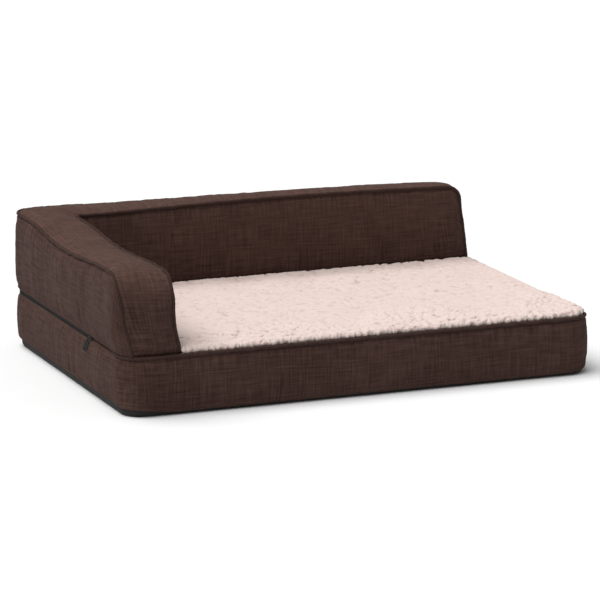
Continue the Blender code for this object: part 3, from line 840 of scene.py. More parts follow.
def cut_panels(grid, near, cuts, groove=0.0006, painted_top_light=0.0):
    """Panels from runs of columns of a larger cloth, with their cut edges turned in a little.

    Each cut is the node that the panel stands for, its first and last column, and the foam that it lies on,
    which is not used.
    """
    for node, first, last, foam in cuts:
        part, depth = grid[first : last + 1], near[first : last + 1]
        along = np.minimum(np.arange(len(part)), np.arange(len(part))[::-1]) * SIM_STEP / 2
        part = part - normals_of(part) * (groove * np.exp(-along / 0.0022))[:, None, None]
        worn = np.exp(-depth / 0.004) + 0.5 * np.exp(-along / 0.003)[:, None]
        # Painted light: the panel's upper part is made paler with height, as if lit from above.
        worn = worn + painted_top_light * smooth((part[..., 2] - 0.12) / 0.1)
        piece = surface(node.replace("panel", "cloth"), part, "linen", marks={"worn": worn})
        settle_in(thicken(piece, bpy.context.scene.bed_sizes.cloth_thickness), "linen", node)


def mattress_plan():
    """The mattress's outline in the order front, right, back and left panel, cut where their seams are."""
    left_seam, back_seam = (-X_SIDE, PANEL_SEAM, 0), (CORNER_SEAM, Y_SIDE, 0)
    right_front, right_back = (X_SIDE, -SIDE_SEAM, 0), (X_SIDE, SIDE_SEAM, 0)
    segments = (
        rounded([left_seam, cover_corner(-1, -1), cover_corner(1, -1), right_front]),
        rounded([right_front, right_back]),
        rounded([right_back, cover_corner(1, 1), back_seam]),
        rounded([back_seam, cover_corner(-1, 1), left_seam]),
    )
    return joined(segments, SIM_STEP)


def lip_height(plan):
    """Height of the black cloth's edge: high at the left and back, and low along the front and right."""
    left = 1 - smooth((plan[:, 0] + X_SIDE - 0.004) / 0.10)
    back = smooth((plan[:, 1] - Y_SIDE + 0.10) / 0.10)
    return 0.0045 + (1.3 * LIP - 0.0045) * np.maximum(left, back)


class BedMattressCloth(bpy.types.Operator):
    """Side panels of the mattress: one cloth pressed out between the bottom cloth and the top seams"""

    bl_idname = "bed.mattress_cloth"
    bl_label = "Mattress side panels"

    def execute(self, context):
        sizes = context.scene.bed_sizes
        plan, cuts = mattress_plan()
        plan = plan[:-1]
        share = zip_share(plan)
        low = raised(plan, lip_height(plan))
        high = raised(plan, BASE_HEIGHT - SEAM_GAP - share * ZIP_OPENING)
        tuck = (0.0028, 0.0030 - 0.0018 * share)
        grid, near = sewn_panel(low, high, sizes.base_bulge, tuck, seed=11, wrap=True, folds=fold_share(plan))
        grid, near = np.concatenate([grid, grid[:1]]), np.concatenate([near, near[:1]])
        nodes = ("base_front_panel", "base_right_panel", "base_back_panel", "base_left_panel")
        cut_panels(grid, near, [
            (node, 2 * cuts[k], 2 * cuts[k + 1], "base_foam_slab") for k, node in enumerate(nodes)])
        line, outward = grid[:, -1 - STITCH_ROW], normals_of(grid)[:, -1 - STITCH_ROW]
        beside = np.flatnonzero(np.repeat(np.append(share, share[0]), 2)[: len(line)] > 0.9)
        order = np.roll(np.arange(len(line) - 1), -beside[0])[: len(beside)]
        stitch_row("base_zip_stitches", line[order], outward[order])
        return {"FINISHED"}


def fold_share(plan):
    """Folds are strongest at the rear of the left side and faint along the front."""
    left = 1 - smooth((plan[:, 0] + X_SIDE) / 0.03)
    back = smooth((plan[:, 1] - Y_SIDE + 0.04) / 0.03)
    share = 0.35 + 1.1 * left * smooth((plan[:, 1] + 0.22) / 0.3) + 0.6 * back
    return np.repeat(share, 2)[:, None]


class BedBottomCloth(bpy.types.Operator):
    """Black cloth under the mattress, turned up round its edge, with rubber dots"""

    bl_idname = "bed.bottom_cloth"
    bl_label = "Non-slip bottom"
    sheet_height = 0.0007  # of the cloth over the floor, on its dots

    def execute(self, context):
        plan, _ = mattress_plan()
        plan = plan[:-1]
        edge = lip_height(plan)
        outward = np.cross(np.column_stack([np.roll(plan, -1, 0) - np.roll(plan, 1, 0), 0 * edge]), (0, 0, 1))
        outward = unit(outward)[:, :2]
        rings = [plan * (1 - inset / Y_SIDE) for inset in (0.30, 0.20, 0.10, 0.05)]
        rings = [raised(ring, self.sheet_height) for ring in rings]
        for inset, height in ((0.02, 0), (0.010, 0), (0.0065, 0.06), (0.0045, 0.25), (0.0034, 0.55),
                              (0.0030, 0.85), (0.0032, 1.0), (0.0036, 1.12)):
            rings.append(raised(plan - outward * inset, self.sheet_height + height * edge))
        grid = np.stack(rings, 1)
        columns, rows = grid.shape[:2]
        faces, _ = grid_faces(columns, rows, wrap_u=True)
        middle = (np.arange(columns) * rows)[::-1]
        piece = solid("nonslip_bottom", grid.reshape(-1, 3), [faces, middle[None]], "nonslip")
        settle_in(thicken(piece, 0.0008), "nonslip", "nonslip_bottom_panel")
        pitch, sides = 0.0125, 6
        x, y = np.meshgrid(np.arange(-0.425, 0.43, pitch), np.arange(-0.295, 0.3, pitch))
        x = x + pitch / 2 * (np.arange(x.shape[0]) % 2)[:, None]
        t = np.arange(sides) / sides * TAU
        levels = ((0.0021, self.sheet_height), (0.0019, 0.0002), (0.0009, 0.0))
        dot = np.stack([np.column_stack([r * np.cos(t), r * np.sin(t), np.full(sides, h)]) for r, h in levels])
        centres = np.column_stack([x.ravel(), y.ravel(), np.zeros(x.size)])
        points, faces = copies(*closed(dot), np.broadcast_to(np.eye(3), (x.size, 3, 3)), centres)
        settle_in(solid("nonslip_dots", points, faces, "rubber"), "nonslip")
        return {"FINISHED"}


# ---------------------------------------------------------------- foam


def round_corners(x, y, inset):
    """Squares moved onto a plan with round corners: there (a, b) becomes (a, b) max(a, b) / hypot(a, b)."""
    radius = CORNER_RADIUS - inset
    cx, cy = X_SIDE - inset - radius, Y_SIDE - inset - radius
    a, b = np.maximum(np.abs(x) - cx, 0), np.maximum(np.abs(y) - cy, 0)
    share = np.where((a > 0) & (b > 0), np.maximum(a, b) / np.maximum(np.hypot(a, b), 1e-9), 1.0)
    x = np.where(a > 0, np.sign(x) * (cx + a * share), x)
    y = np.where(b > 0, np.sign(y) * (cy + b * share), y)
    return x, y


def foam_block(name, profile, across, low, high, edge=0.006):
    """A block: a closed outline carried from low to high, drawn in by edge (1 - sin t) at both ends."""
    outline = even(profile, spacing=0.012)[:-1]
    centre = (outline.max(0) + outline.min(0)) / 2
    half = (outline.max(0) - outline.min(0)) / 2
    t = np.linspace(0, math.pi / 2, 4)
    start, inset = low + edge * (1 - np.cos(t)), edge * (1 - np.sin(t))
    middle = np.linspace(low + edge, high - edge, max(3, int((high - low) / 0.02)))[1:-1]
    place = np.concatenate([start, middle, (high + low - start)[::-1]])
    inset = np.concatenate([inset, 0 * middle, inset[::-1]])
    scale = 1 - inset[:, None, None] / half
    flat = centre + (outline - centre)[None] * scale
    grid = np.empty((len(place), len(outline), 3))
    others = [k for k in range(3) if k != across]
    grid[..., across] = place[:, None]
    grid[..., others[0]], grid[..., others[1]] = flat[..., 0], flat[..., 1]
    grid[..., 0], grid[..., 1] = round_corners(grid[..., 0], grid[..., 1], CORNER_INSET)
    return solid(name, *closed(settle(grid)), "foam")


class BedFoam(bpy.types.Operator):
    """Foam inside: the mattress's slab, the egg-crate layer on it, and the bolster's two blocks"""

    bl_idname = "bed.foam"
    bl_label = "Foam"

    def execute(self, context):
        slab_low, slab_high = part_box("base_foam_slab")
        crate_low, crate_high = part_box("egg_crate_foam")
        inset = X_SIDE - slab_high.x
        signs = ((-1, -1), (1, -1), (1, 1), (-1, 1))
        plan = rounded([cover_corner(x, y, inset) for x, y in signs], closed=True)
        outline = even(plan, spacing=0.008)[:-1]
        rings = []
        for draw, height in ((0.004, 0.0), (0.001, 0.03), (0, 0.1), (0, 0.5), (0, 0.9), (0.001, 0.97),
                             (0.004, 1.0)):
            ring = outline * (1 - draw / np.array((X_SIDE, Y_SIDE)))
            rings.append(raised(ring, slab_low.z + height * (slab_high.z - slab_low.z)))
        slab = solid("foam_slab", *closed(np.stack(rings)), "foam")
        settle_in(slab, "foam", "base_foam_slab")

        width, depth = X_SIDE - inset, Y_SIDE - inset
        pitch, wave, spare = 0.026, 0.0068, 0.0007
        x, y = np.meshgrid(np.linspace(-width, width, 205), np.linspace(-depth, depth, 145), indexing="ij")
        z = crate_high.z - wave - spare + wave * np.sin(math.pi * x / pitch) * np.sin(math.pi * y / pitch)
        x, y = round_corners(x, y, inset)
        top = np.stack([x, y, z], -1)
        grid = np.pad(top, ((1, 1), (1, 1), (0, 0)), mode="edge")
        rim = np.ones(grid.shape[:2], bool)
        rim[1:-1, 1:-1] = False
        grid[..., 2] = np.where(rim, crate_low.z + GAP, grid[..., 2])
        crate = lidded("egg_crate", grid, "foam")
        settle_in(crate, "foam", "egg_crate_foam")

        low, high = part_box("arm_foam_core")
        profile = [(low.y, low.z, 0), (high.y, low.z, 0), (high.y, high.z, 0),
                   (low.y, high.z, ARM_FRONT_RADIUS)]
        arm = foam_block("arm_foam", rounded(profile, closed=True), 0, low.x, high.x)
        settle_in(arm, "foam", "arm_foam_core")
        low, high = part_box("back_foam_core")
        profile = [(low.x, low.z, 0), (high.x, low.z, 0), (high.x, high.z, BACK_END_RADIUS),
                   (low.x, high.z, 0)]
        back = foam_block("back_foam", rounded(profile, closed=True), 1, low.y, high.y)
        settle_in(back, "foam", "back_foam_core")
        return {"FINISHED"}


# ---------------------------------------------------------------- bolster


def wall_edges(plan, foot, first_radius, last_radius):
    """Foot and top lines of an upright wall whose top corners are round at both ends.

    Beyond one and a half radii from an end the top lies over the foot. Nearer to it, as many points are spread
    evenly along the quarter circle and the short straight run beside it.
    """
    top = BED_HEIGHT - 0.0012
    run = lengths(plan)
    count = int(round(run[-1] / SIM_STEP)) + 1
    marks = np.linspace(0, run[-1], count)
    distance, height = marks.copy(), np.full(count, top)
    for radius, near in ((first_radius, marks), (last_radius, run[-1] - marks)):
        fan = near < 1.5 * radius
        reach = near[fan].max()
        curve = rounded([(0, top - radius, 0), (0, top, radius), (reach, top, 0)])
        curve = even(curve, count=int(fan.sum()))
        if near[0] > 0:
            distance[fan], height[fan] = run[-1] - curve[::-1, 0], curve[::-1, 1]
        else:
            distance[fan], height[fan] = curve[:, 0], curve[:, 1]
    below = read_off(marks, run, plan)
    return raised(below, foot(below)), raised(read_off(distance, run, plan), height)


def seam_line(side, foot):
    """The route of a piping along the bolster's top: up the arm's front, round the corner and down the far end.

    side is 1 for the outer piping and 0 for the inner one. Both have as many points in each part.
    """
    x_side, y_side, radius = (
        (-X_SIDE, Y_SIDE, CORNER_RADIUS) if side else (ARM_INSIDE, BACK_INSIDE, INNER_RADIUS))
    top = BED_HEIGHT
    arm_start, arm_end, back_start, back_end = -0.23, INNER_START, ARM_INSIDE + INNER_RADIUS, 0.37
    front = [(BOLSTER_FRONT, foot, 0), (BOLSTER_FRONT, top, ARM_FRONT_RADIUS), (arm_start, top, 0)]
    arm = np.array([(arm_start, top), (arm_end, top)])
    corner = [(x_side, arm_end, 0), (x_side, y_side, radius), (back_start, y_side, 0)]
    back = np.array([(back_start, top), (back_end, top)])
    end = [(back_end, top, 0), (BOLSTER_END, top, BACK_END_RADIUS), (BOLSTER_END, foot, 0)]
    return np.concatenate([
        np.insert(even(rounded(front), count=38), 0, x_side, axis=1),
        np.insert(even(arm, count=72)[1:], 0, x_side, axis=1),
        raised(even(rounded(corner), count=31)[1:], top),
        np.insert(even(back, count=117)[1:], 1, y_side, axis=1),
        np.insert(even(rounded(end), count=36)[1:], 1, y_side, axis=1),
    ])


class BedBolsterCloth(bpy.types.Operator):
    """Cloth of the bolster: outer and inner sides, the strip along the top, and the lining underneath"""

    bl_idname = "bed.bolster_cloth"
    bl_label = "Bolster cloth"

    def execute(self, context):
        sizes = context.scene.bed_sizes
        last_x, first_y = BOLSTER_END - 0.0005, BOLSTER_FRONT + 0.0005

        plan = rounded([(last_x, Y_SIDE, 0), cover_corner(-1, 1), (-X_SIDE, first_y, 0)])
        low, high = wall_edges(plan, self.outer_foot, BACK_END_RADIUS, ARM_FRONT_RADIUS)
        share = zip_share(low[:, :2])
        grid, near = sewn_panel(low, high, sizes.bolster_bulge, (0.0030 - 0.0018 * share, 0.0026), seed=23)
        cut = 2 * int(np.argmin(np.abs(low[:, 0] - CORNER_SEAM) + 10 * (low[:, 1] < Y_SIDE - 0.001)))
        grid = settle(grid)
        cut_panels(grid, near, [
            ("back_outer_panel", 0, cut, "back_foam_core"),
            ("arm_outer_panel", cut, len(grid) - 1, "arm_foam_core")])
        beside = np.repeat(share > 0.9, 2)[: len(grid)]
        stitch_row("bolster_zip_stitches", grid[beside, STITCH_ROW], normals_of(grid)[beside, STITCH_ROW])

        plan = rounded([(ARM_INSIDE, first_y, 0), (ARM_INSIDE, BACK_INSIDE, INNER_RADIUS),
                        (last_x, BACK_INSIDE, 0)])
        low, high = wall_edges(plan, self.inner_foot, ARM_FRONT_RADIUS, BACK_END_RADIUS)
        grid, near = sewn_panel(low, high, sizes.bolster_bulge * 0.8, (0.0015, 0.0026), seed=37, folds=0.7)
        cut = 2 * int(np.argmin(np.abs(low[:, 1] - INNER_START) + 10 * (low[:, 0] > ARM_INSIDE + 0.001)))
        grid = settle(grid)
        # The inner panels get painted light on their upper part.
        cut_panels(grid, near, [
            ("arm_inner_panel", 0, cut, "arm_foam_core"),
            ("back_inner_panel", cut, len(grid) - 1, "back_foam_core")], groove=0.0003, painted_top_light=0.35)

        edges = [seam_line(side, BASE_HEIGHT - 0.0014) for side in (0, 1)]
        grid, near = sewn_panel(*edges, sizes.top_crown, (0.0022, 0.0022), seed=51, slack=0.016, folds=0.5)
        grid = settle(grid)
        # Paler along the seams for wear, and painted light: the top strip is made paler above 0.17 m, as if lit
        # from above.
        marks = {"worn": np.exp(-near / 0.004) + 0.7 * smooth((grid[..., 2] - 0.17) / 0.07)}
        piece = thicken(surface("bolster_top_cloth", grid, "linen", marks=marks), sizes.cloth_thickness)
        settle_in(piece, "linen", "arm_top_strip", "back_top_strip")
        self.lining()
        return {"FINISHED"}

    def outer_foot(self, plan):
        """Height of the outer side's foot: away from the zip where there is one."""
        return BASE_HEIGHT + SEAM_GAP + zip_share(plan) * ZIP_OPENING

    def inner_foot(self, plan):
        """Height of the inner side's foot, on the fleece's backing."""
        return np.full(len(plan), FLEECE_LOW.z + 0.0016)

    def lining(self):
        """The lining under the bolster: (1 - v) inner edge + v outer edge, with slight waves up and down."""
        low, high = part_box("bolster_lining")
        edge = Y_SIDE - high.y
        inner = rounded([(ARM_INSIDE, low.y, 0), (ARM_INSIDE, BACK_INSIDE, 0.002), (high.x, BACK_INSIDE, 0)])
        outer = rounded([(-X_SIDE + edge, low.y, 0), cover_corner(-1, 1, edge), (high.x, high.y, 0)])
        inner, outer = even(inner, count=150), even(outer, count=150)
        v = np.linspace(0, 1, 16)[:, None]
        flat = inner[:, None] * (1 - v) + outer[:, None] * v
        run = lengths(inner)[:, None]
        lift = 0.00025 * waves(61, run, v[:, 0] * 0.1, 0.05, 0.4, 0.8) + high.z - 0.0002
        flat = np.stack(round_corners(flat[..., 0], flat[..., 1], CORNER_INSET), -1)
        grid = settle(np.dstack([flat, np.minimum(lift, high.z)]))
        piece = surface("bolster_lining_cloth", grid, "lining", marks={"worn": 0 * lift})
        settle_in(thicken(piece, 0.0006), "lining", "bolster_lining")


class BedPiping(bpy.types.Operator):
    """Piping: cloth-covered cords along the mattress's top edge and both edges of the bolster's top"""

    bl_idname = "bed.piping"
    bl_label = "Piping"

    def execute(self, context):
        radius = context.scene.bed_sizes.piping_radius
        lines = [seam_line(side, BASE_HEIGHT + 0.0036) for side in (0, 1)]
        across = unit(lines[1] - lines[0])
        for name, node, k in (
            ("inner_piping_roll", "bolster_inner_piping", 0),
            ("outer_piping_roll", "bolster_outer_piping", 1),
        ):
            line = even(np.hstack([lines[k], across]), spacing=EDGE_STEP)
            settle_in(self.roll(name, settle(line[:, :3]), line[:, 3:], radius, 70 + k), "piping", node)
        start, end = (-X_SIDE + 0.0015, PANEL_SEAM - 0.075, 0), (X_SIDE, SIDE_SEAM, 0)
        plan = even(rounded([start, cover_corner(-1, -1), cover_corner(1, -1), end]), spacing=EDGE_STEP)
        run = lengths(plan)
        hidden = 1 - smooth(run / 0.05)
        inward = np.column_stack([hidden * 0.0055, 0 * run])
        points = raised(plan + inward, BASE_HEIGHT)
        side = np.broadcast_to((0.0, 0.0, 1.0), points.shape)
        settle_in(self.roll("base_piping_roll", points, side, radius, 75), "piping", "base_top_piping")
        insets = np.array((0.0020, 0.0035, 0.006, 0.010, 0.015))
        rings = [even(rounded([(-X_SIDE + inset, PANEL_SEAM + 0.004, 0), cover_corner(-1, -1, inset),
                               cover_corner(1, -1, inset), (X_SIDE - inset, SIDE_SEAM, 0)]), count=480)
                 for inset in insets]
        levels = BASE_HEIGHT - 0.0006 - 0.0021 * smooth((insets - 0.002) / 0.008)
        grid = np.stack([raised(ring, level) for ring, level in zip(rings, levels)], 1)[:, ::-1]
        flange = surface("base_piping_flange", grid, "linen", marks={"worn": np.zeros(grid.shape[:2])})
        settle_in(thicken(flange, 0.0007), "linen")
        return {"FINISHED"}

    def roll(self, name, points, side, radius, seed):
        """A tube whose girth and line waver a little, as cloth pulled round a cord does."""
        run = lengths(points)
        fine, broad, sway = (
            waves(seed + shift, run, 0 * run, wavelength, spread, 0)
            for shift, wavelength, spread in ((0, 0.012, 0.5), (9, 0.05, 0.4), (5, 0.045, 0.4)))
        girth, sway = radius * (1 + 0.035 * fine + 0.03 * broad), 0.00030 * sway
        points = points + np.column_stack([sway, sway[::-1], sway * 0.8])
        grid = tube(points, side, girth, sides=14)
        return surface(name, grid, "piping", roll=True, marks={"worn": np.full(grid.shape[:2], 0.35)})


# ---------------------------------------------------------------- fleece


def nodules(seed, x, y, size):
    """Distance to the nearest of a jittered lattice of centres, in lattice steps, and the way to it."""
    random = np.random.default_rng(seed)
    jitter = random.uniform(0.1, 0.9, (64, 64, 2))
    i, j = np.floor(x / size).astype(int), np.floor(y / size).astype(int)
    best = np.full(x.shape, 9.0)
    way = np.zeros((*x.shape, 2))
    for di in (-1, 0, 1):
        for dj in (-1, 0, 1):
            offset = jitter[(i + di) % 64, (j + dj) % 64]
            to = np.stack([(i + di + offset[..., 0]) - x / size, (j + dj + offset[..., 1]) - y / size], -1)
            distance = np.linalg.norm(to, axis=-1)
            closer = distance < best
            best = np.where(closer, distance, best)
            way = np.where(closer[..., None], to, way)
    return best, way * size


class BedFleece(bpy.types.Operator):
    """Fleece top: a backing cloth over the foam and the curly pile on it"""

    bl_idname = "bed.fleece"
    bl_label = "Fleece top"

    def execute(self, context):
        sizes = context.scene.bed_sizes
        low, high = FLEECE_LOW, FLEECE_HIGH
        x, y = np.meshgrid(np.linspace(low.x, high.x, 160), np.linspace(low.y, high.y, 108), indexing="ij")
        edge = np.minimum(np.minimum(x - low.x, high.x - x), np.minimum(y - low.y, high.y - y))
        z = low.z + 0.0022 + 0.0012 * smooth(edge / 0.03) + 0.0004 * waves(80, x, y, 0.05, 0.4, 1.5)
        grid = settle(np.stack([*round_corners(x, y, 0.0005), z], -1))
        backing = surface("fleece_backing", grid, "fleece", marks={"pile": 0 * z})
        settle_in(thicken(backing, 0.0011), "fleece", "fleece_top_panel")

        columns = np.linspace(low.x + 0.0004, high.x + 0.0050, 345)
        near_rows, near_step, far_rows = 56, 0.0016, 168
        far_step = (high.y - low.y + 0.0015 - near_rows * near_step) / far_rows
        steps = np.concatenate([np.full(near_rows, near_step), np.full(far_rows, far_step)])
        rows = low.y - 0.0030 + np.concatenate([[0], np.cumsum(steps)])
        x, y = np.meshgrid(columns, rows, indexing="ij")
        bend_x = x + 0.0032 * waves(81, x, y, 0.019, 0.4, 1.5)
        bend_y = y + 0.0032 * waves(82, x, y, 0.019, 0.4, 1.5)
        big, big_way = nodules(83, bend_x, bend_y, 0.0155)
        small, small_way = nodules(84, bend_x, bend_y, 0.0072)
        dome = np.sqrt(np.maximum(1 - (big / 0.86) ** 2, 0))
        bead = np.sqrt(np.maximum(1 - (small / 0.9) ** 2, 0))
        front = 1 - smooth((y - low.y - 0.075 - 0.03 * waves(85, x, 0 * y, 0.25, 0.4, 0)) / 0.10)
        rim = 1 - smooth((high.y - y) / 0.03)
        curly = np.clip(0.36 + 0.64 * front + 0.45 * rim, 0, 1)
        tip = dome * 0.68 + bead * 0.32
        edge = np.minimum(np.minimum(x - columns[0], columns[-1] - x),
                          np.minimum(y - rows[0], rows[-1] - y))
        rise = np.sqrt(np.clip(edge / 0.006, 0, 1))
        broad = 0.0008 * waves(86, x, y, 0.14, 0.4, 1.5)
        ground = low.z + 0.0024 + 0.0038 * np.sqrt(np.clip(edge / 0.009, 0, 1)) + (1 - curly) * 0.0026
        z = ground + (0.35 + 0.65 * rise) * curly * sizes.pile * tip + broad * smooth(edge / 0.02)
        spread = (curly * 0.42 * (tip - 0.35))[..., None]
        jag = 0.0014 * waves(87, x, y, 0.011, 0.5, 1.5) * (1 - smooth((y - rows[0]) / 0.012))
        shift = -(big_way * 0.55 + small_way * 0.45) * spread
        x, y = round_corners(x + shift[..., 0], y + shift[..., 1] + jag, -0.001)
        grid = np.stack([x, y, z], -1)
        grid[0], grid[-1], grid[:, 0], grid[:, -1] = (
            self.skirt(row, way, low.z + 0.002) for row, way in (
                (grid[1], (0.003, 0)), (grid[-2], (-0.004, 0)),
                (grid[:, 1], (0, 0.004)), (grid[:, -2], (0, -0.003))))
        for i, beside_i in ((0, 1), (-1, -2)):
            for j, beside_j in ((0, 1), (-1, -2)):
                grid[i, j] = (grid[beside_i, j] + grid[i, beside_j]) / 2
        # Height in the pile, for the fleece's colour: low points get the darker colour, which is partly painted
        # shade.
        height = np.clip(tip * (0.45 + 0.55 * curly) + 0.42 * (1 - curly), 0, 1)
        # Painted light: the low rows at the edge, which lie in shade, get the pale colour of high curls.
        height = np.maximum(height, 0.72 * (1 - smooth((edge - 0.001) / 0.004)))
        pile = settle_in(lidded("fleece_pile", settle(grid), "fleece", marks={"pile": height}), "fleece")
        return {"FINISHED"}

    def skirt(self, row, way, height):
        """The row beside an edge, moved inwards and down to the backing."""
        row = row + (*way, 0)
        row[:, 2] = height
        return row


# ---------------------------------------------------------------- zip


def zip_route(depth, back, front):
    """The zip's line at a depth behind the cover, from its end on the back to its end on the left side."""
    return rounded([(back, Y_SIDE - depth, 0), cover_corner(-1, 1, depth), (depth - X_SIDE, front, 0)])


def signed_power(value, power):
    """sign(value) |value|^power, which makes a circle's sine and cosine squarer as the power falls."""
    return np.sign(value) * np.abs(value) ** power


class BedZip(bpy.types.Operator):
    """Zip chain: two woven tapes, a nylon coil on each, and a metal stop at both ends"""

    bl_idname = "bed.zip_chain"
    bl_label = "Zip chain"

    def execute(self, context):
        gap, width = TAPE_LOW.z - BASE_HEIGHT, TAPE_HIGH.z - TAPE_LOW.z
        plan = even(zip_route(X_SIDE + TAPE_LOW.x, TAPE_HIGH.x, TAPE_LOW.y), spacing=0.004)
        run = lengths(plan)
        rows = (("upper", 1), ("lower", -1))
        for row, sign in rows:
            levels = np.sort(BASE_HEIGHT + sign * (gap + np.linspace(0, width, 9)))
            grid = np.stack([raised(plan, level) for level in levels], 1)
            ripple = 0.00012 * waves(90, run[:, None], levels[None], 0.02, 0.4, 0.5)
            grid = grid + normals_of(grid) * ripple[..., None]
            tape = thicken(surface(f"zip_tape_{row}", grid, "zip_tape"), 0.0005)
            settle_in(tape, "zip_tape", f"zip_{row}_tape")
        pitch, turn_points, half_height, half_depth, wire = 0.0019, 9, 0.00098, 0.00055, 0.00034
        line = zip_route(X_SIDE + COIL_LOW.x + 0.0009, COIL_HIGH.x, COIL_LOW.y)
        line = even(line, count=int(lengths(line)[-1] / pitch) * turn_points)
        ahead = np.column_stack([np.gradient(line, axis=0), np.zeros(len(line))])
        outward = unit(np.cross(ahead, (0, 0, 1.0)))
        middle = (COIL_LOW.z + COIL_HIGH.z) / 2 - BASE_HEIGHT
        for row, sign in rows:
            phase = np.arange(len(line)) / turn_points * TAU + (0 if sign > 0 else math.pi)
            points = raised(line, BASE_HEIGHT + sign * middle - np.cos(phase) * half_height * sign)
            points = points + outward * (np.sin(phase) * half_depth)[:, None]
            grid = tube(points, outward + unit(ahead) * 0.2, wire, sides=5)
            settle_in(surface(f"zip_coil_{row}", grid, "zip_coil", roll=True), "zip_coil", f"zip_{row}_coil")
        for node in ("zip_front_stop", "zip_back_stop"):
            low, high = (np.array(corner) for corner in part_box(node))
            settle_in(self.clamp(node + "_clamp", low, high), "zip_metal", node)
        return {"FINISHED"}

    def clamp(self, name, low, high):
        """A pressed metal staple between two corners: a cushion, sign(cos t) |cos t|^0.45 across both ways."""
        t = (np.arange(20) + 0.5) / 20 * TAU
        s = np.linspace(-1, 1, 9) * math.pi / 2 * 0.999
        ring = signed_power(np.cos(s), 0.35)[:, None]
        shape = np.stack(np.broadcast_arrays(
            ring * signed_power(np.cos(t), 0.45), ring * signed_power(np.sin(t), 0.45),
            signed_power(np.sin(s), 0.35)[:, None]), -1)
        return solid(name, *closed((low + high) / 2 + shape * (high - low) / 2), "zip_metal")


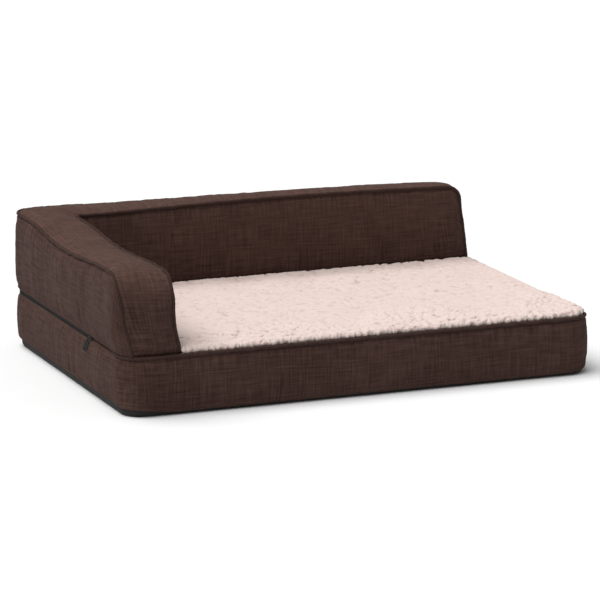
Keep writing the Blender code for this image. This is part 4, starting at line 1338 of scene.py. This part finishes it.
class BedSlider(bpy.types.Operator):
    """Zip slider with its bridge, and the pull that hangs from it"""

    bl_idname = "bed.zip_slider"
    bl_label = "Zip slider and pull"

    def execute(self, context):
        low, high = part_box("zip_slider")
        centre = np.array(((low.x + high.x) / 2, (low.y + high.y) / 2, BASE_HEIGHT))
        length, half = high.y - low.y, 0.38 * (high.z - low.z)
        bar_x = low.x + 0.0006
        front_plate, back_plate = -X_SIDE - 0.00105, high.x
        outline = self.outline([(-length / 2, -half * 0.74, 0.0012), (length / 2, -half, 0.0022),
                                (length / 2, half, 0.0022), (-length / 2, half * 0.74, 0.0012)], 48)
        parts = [self.plate(centre, outline, front_plate, front_plate + 0.00095, 0.0004),
                 self.plate(centre, outline * (0.96, 0.72), back_plate - 0.0009, back_plate, 0.0003)]
        for sign in (-1, 1):
            end, narrow, wide = length * 0.46, sign * half * 0.70, sign * half * 0.86
            rail = self.outline([(-end, narrow - 0.0002, 0.0003), (end, wide - 0.0002, 0.0003),
                                 (end, wide + 0.0005, 0.0003), (-end, narrow + 0.0005, 0.0003)], 24)
            parts.append(self.plate(centre, rail, front_plate + 0.0006, -X_SIDE + 0.0018, 0.0001))
        t, reach, foot = np.linspace(0, math.pi, 25), 0.0036, front_plate + 0.0003
        arch = np.column_stack([foot + (bar_x - foot) * np.sin(t) ** 0.35, centre[1] - reach * np.cos(t)])
        arch = raised(arch, BASE_HEIGHT)
        parts.append(closed(tube(arch, np.broadcast_to((0.0, 0.0, 1.0), arch.shape), 0.00062, sides=8)))
        end, half = 0.003, 0.00028
        neck = self.outline([(-end, -half, 0), (end, -half, 0), (end, half, 0), (-end, half, 0)], 16)
        parts.append(self.plate(centre, neck, front_plate + 0.0005, back_plate - 0.0005, 0.00005))
        settle_in(self.join("zip_slider_body", parts), "zip_metal", "zip_slider", body="slider")

        lean, swing, twist = (
            np.array(Matrix.Rotation(math.radians(angle), 3, axis))
            for angle, axis in ((14, "X"), (15, "Y"), (48, "Z")))
        (eye, eye_faces), (tab, tab_faces) = self.eye(), self.tab()
        hinge = np.array((bar_x, centre[1], BASE_HEIGHT))
        hung = (swing @ lean).T
        parts = [(eye @ hung + hinge, eye_faces), (tab @ twist.T @ hung + hinge, tab_faces)]
        settle_in(self.join("zip_pull_tab", parts), "zip_metal", "zip_pull", body="pull")
        return {"FINISHED"}

    def eye(self, radius=0.0018, wire=0.00052):
        """The pull's ring: radius (cos t, 0, sin t) + wire (cos s outwards + sin s across)."""
        t, s = np.arange(20) / 20 * TAU, np.arange(8) / 8 * TAU
        loop = radius * np.column_stack([np.cos(t), 0 * t, np.sin(t)])
        across = np.array((0.0, 1.0, 0.0))
        section = np.cos(s)[None, :, None] * unit(loop)[:, None] + np.sin(s)[None, :, None] * across
        return closed(loop[:, None] + wire * section, loop=True)

    def tab(self, reach=0.0235):
        """The pull's plate: oval sections that widen from the ring, with a thinner middle and a round end."""
        s = np.linspace(0, 1, 30)
        start, end = np.sqrt(np.clip(s / 0.04, 0.15, 1)), ((s - 0.86) / 0.14).clip(0, 1)
        wide = 0.0018 + 0.0022 * smooth((s - 0.05) / 0.3)
        wide = wide * np.sqrt(np.clip(1 - end**2, 0.02, 1)) * start
        thick = 0.0007 + 0.0004 * smooth((s - 0.1) / 0.3)
        thick = thick - 0.00022 * smooth((s - 0.28) / 0.06) * smooth((0.86 - s) / 0.06)
        thick = thick * np.sqrt(np.clip((1 - s) / 0.05, 0.2, 1))
        t = (np.arange(16) + 0.5) / 16 * TAU
        x, y = thick[:, None] * signed_power(np.cos(t), 0.7), wide[:, None] * signed_power(np.sin(t), 0.8)
        return closed(np.stack(np.broadcast_arrays(x, y, (-0.0016 - reach * s)[:, None]), -1))

    def outline(self, corners, count):
        """A closed outline with round corners, as evenly spaced points."""
        return even(rounded(corners, closed=True), count=count + 1)[:-1]

    def plate(self, centre, outline, near, far, edge):
        """A flat plate: an outline in Y and Z from near to far in X, drawn in by edge at its two faces."""
        span = outline.max(0) - outline.min(0)
        rings = []
        for draw, x in ((edge, near), (0, near + edge), (0, far - edge), (edge, far)):
            ring = outline * (1 - 2 * draw / span)
            rings.append(np.column_stack([np.full(len(ring), x), ring + centre[1:]]))
        return closed(np.stack(rings))

    def join(self, name, parts):
        """Several closed shapes as one mesh."""
        points, faces, shift = [], [], 0
        for some, its_faces in parts:
            points.append(some)
            faces += [f + shift for f in its_faces]
            shift += len(some)
        return solid(name, np.concatenate(points), faces, "zip_metal")


# ---------------------------------------------------------------- stage


class BedStage(bpy.types.Operator):
    """Pale floor, soft studio light and the camera"""

    bl_idname = "bed.stage"
    bl_label = "Studio"

    def execute(self, context):
        scene = context.scene
        corners = np.array(((-30, -30), (30, -30), (30, 30), (-30, 30)), float)
        floor = solid("floor", raised(corners, 0.0), np.arange(4)[None], "floor")
        world = bpy.data.worlds.new("studio")
        world.use_nodes = True
        background = world.node_tree.nodes["Background"].inputs
        background["Color"].default_value, background["Strength"].default_value = (1, 1, 1, 1), 0.33
        scene.world = world
        light = bpy.data.lights.new("softbox", "SUN")
        light.energy, light.angle = 3.45, math.radians(50)
        lamp = bpy.data.objects.new("softbox", light)
        lamp.rotation_euler = (math.radians(-3), math.radians(-21), 0)
        scene.collection.objects.link(lamp)
        lens = bpy.data.cameras.new("camera")
        lens.sensor_width = 36.0
        lens.lens = 235.9
        lens.shift_x, lens.shift_y = -0.0050, 0.0025
        lens.clip_end = 100.0
        camera = bpy.data.objects.new("camera", lens)
        camera.location = (-2.583, -6.556, 1.684)
        camera.rotation_euler = (math.radians(90 - 12.62), math.radians(0.18), math.radians(-21.62))
        scene.collection.objects.link(camera)
        scene.camera = camera
        scene.view_settings.view_transform = "Standard"
        return {"FINISHED"}


class BedPanel(bpy.types.Panel):
    """Lists the bed's sizes, colours and pieces"""

    bl_idname = "VIEW3D_PT_pet_bed"
    bl_label = "Pet bed"
    bl_space_type = "VIEW_3D"
    bl_region_type = "UI"
    bl_category = "Pet Bed"

    def draw(self, context):
        for group in (context.scene.bed_sizes, context.scene.bed_colours):
            box = self.layout.box()
            for key in group.__annotations__:
                box.prop(group, key)
        for operator in OPERATORS:
            self.layout.operator(operator.bl_idname)


OPERATORS = (
    BedMattressCloth, BedBottomCloth, BedFoam, BedBolsterCloth, BedPiping, BedFleece, BedZip, BedSlider,
    BedStage,
)
CLASSES = (BedSizes, BedColours, *OPERATORS, BedPanel)


def register():
    for cls in CLASSES:
        bpy.utils.register_class(cls)
    bpy.types.Scene.bed_sizes = bpy.props.PointerProperty(type=BedSizes)
    bpy.types.Scene.bed_colours = bpy.props.PointerProperty(type=BedColours)


def unregister():
    del bpy.types.Scene.bed_colours
    del bpy.types.Scene.bed_sizes
    for cls in reversed(CLASSES):
        bpy.utils.unregister_class(cls)


def main():
    register()
    make_finishes()
    for operator in OPERATORS:
        family, name = operator.bl_idname.split(".")
        result = getattr(getattr(bpy.ops, family), name)()
        if result != {"FINISHED"}:
            raise RuntimeError(f"{operator.bl_label} didn't finish")


if __name__ == "__main__":
    main()
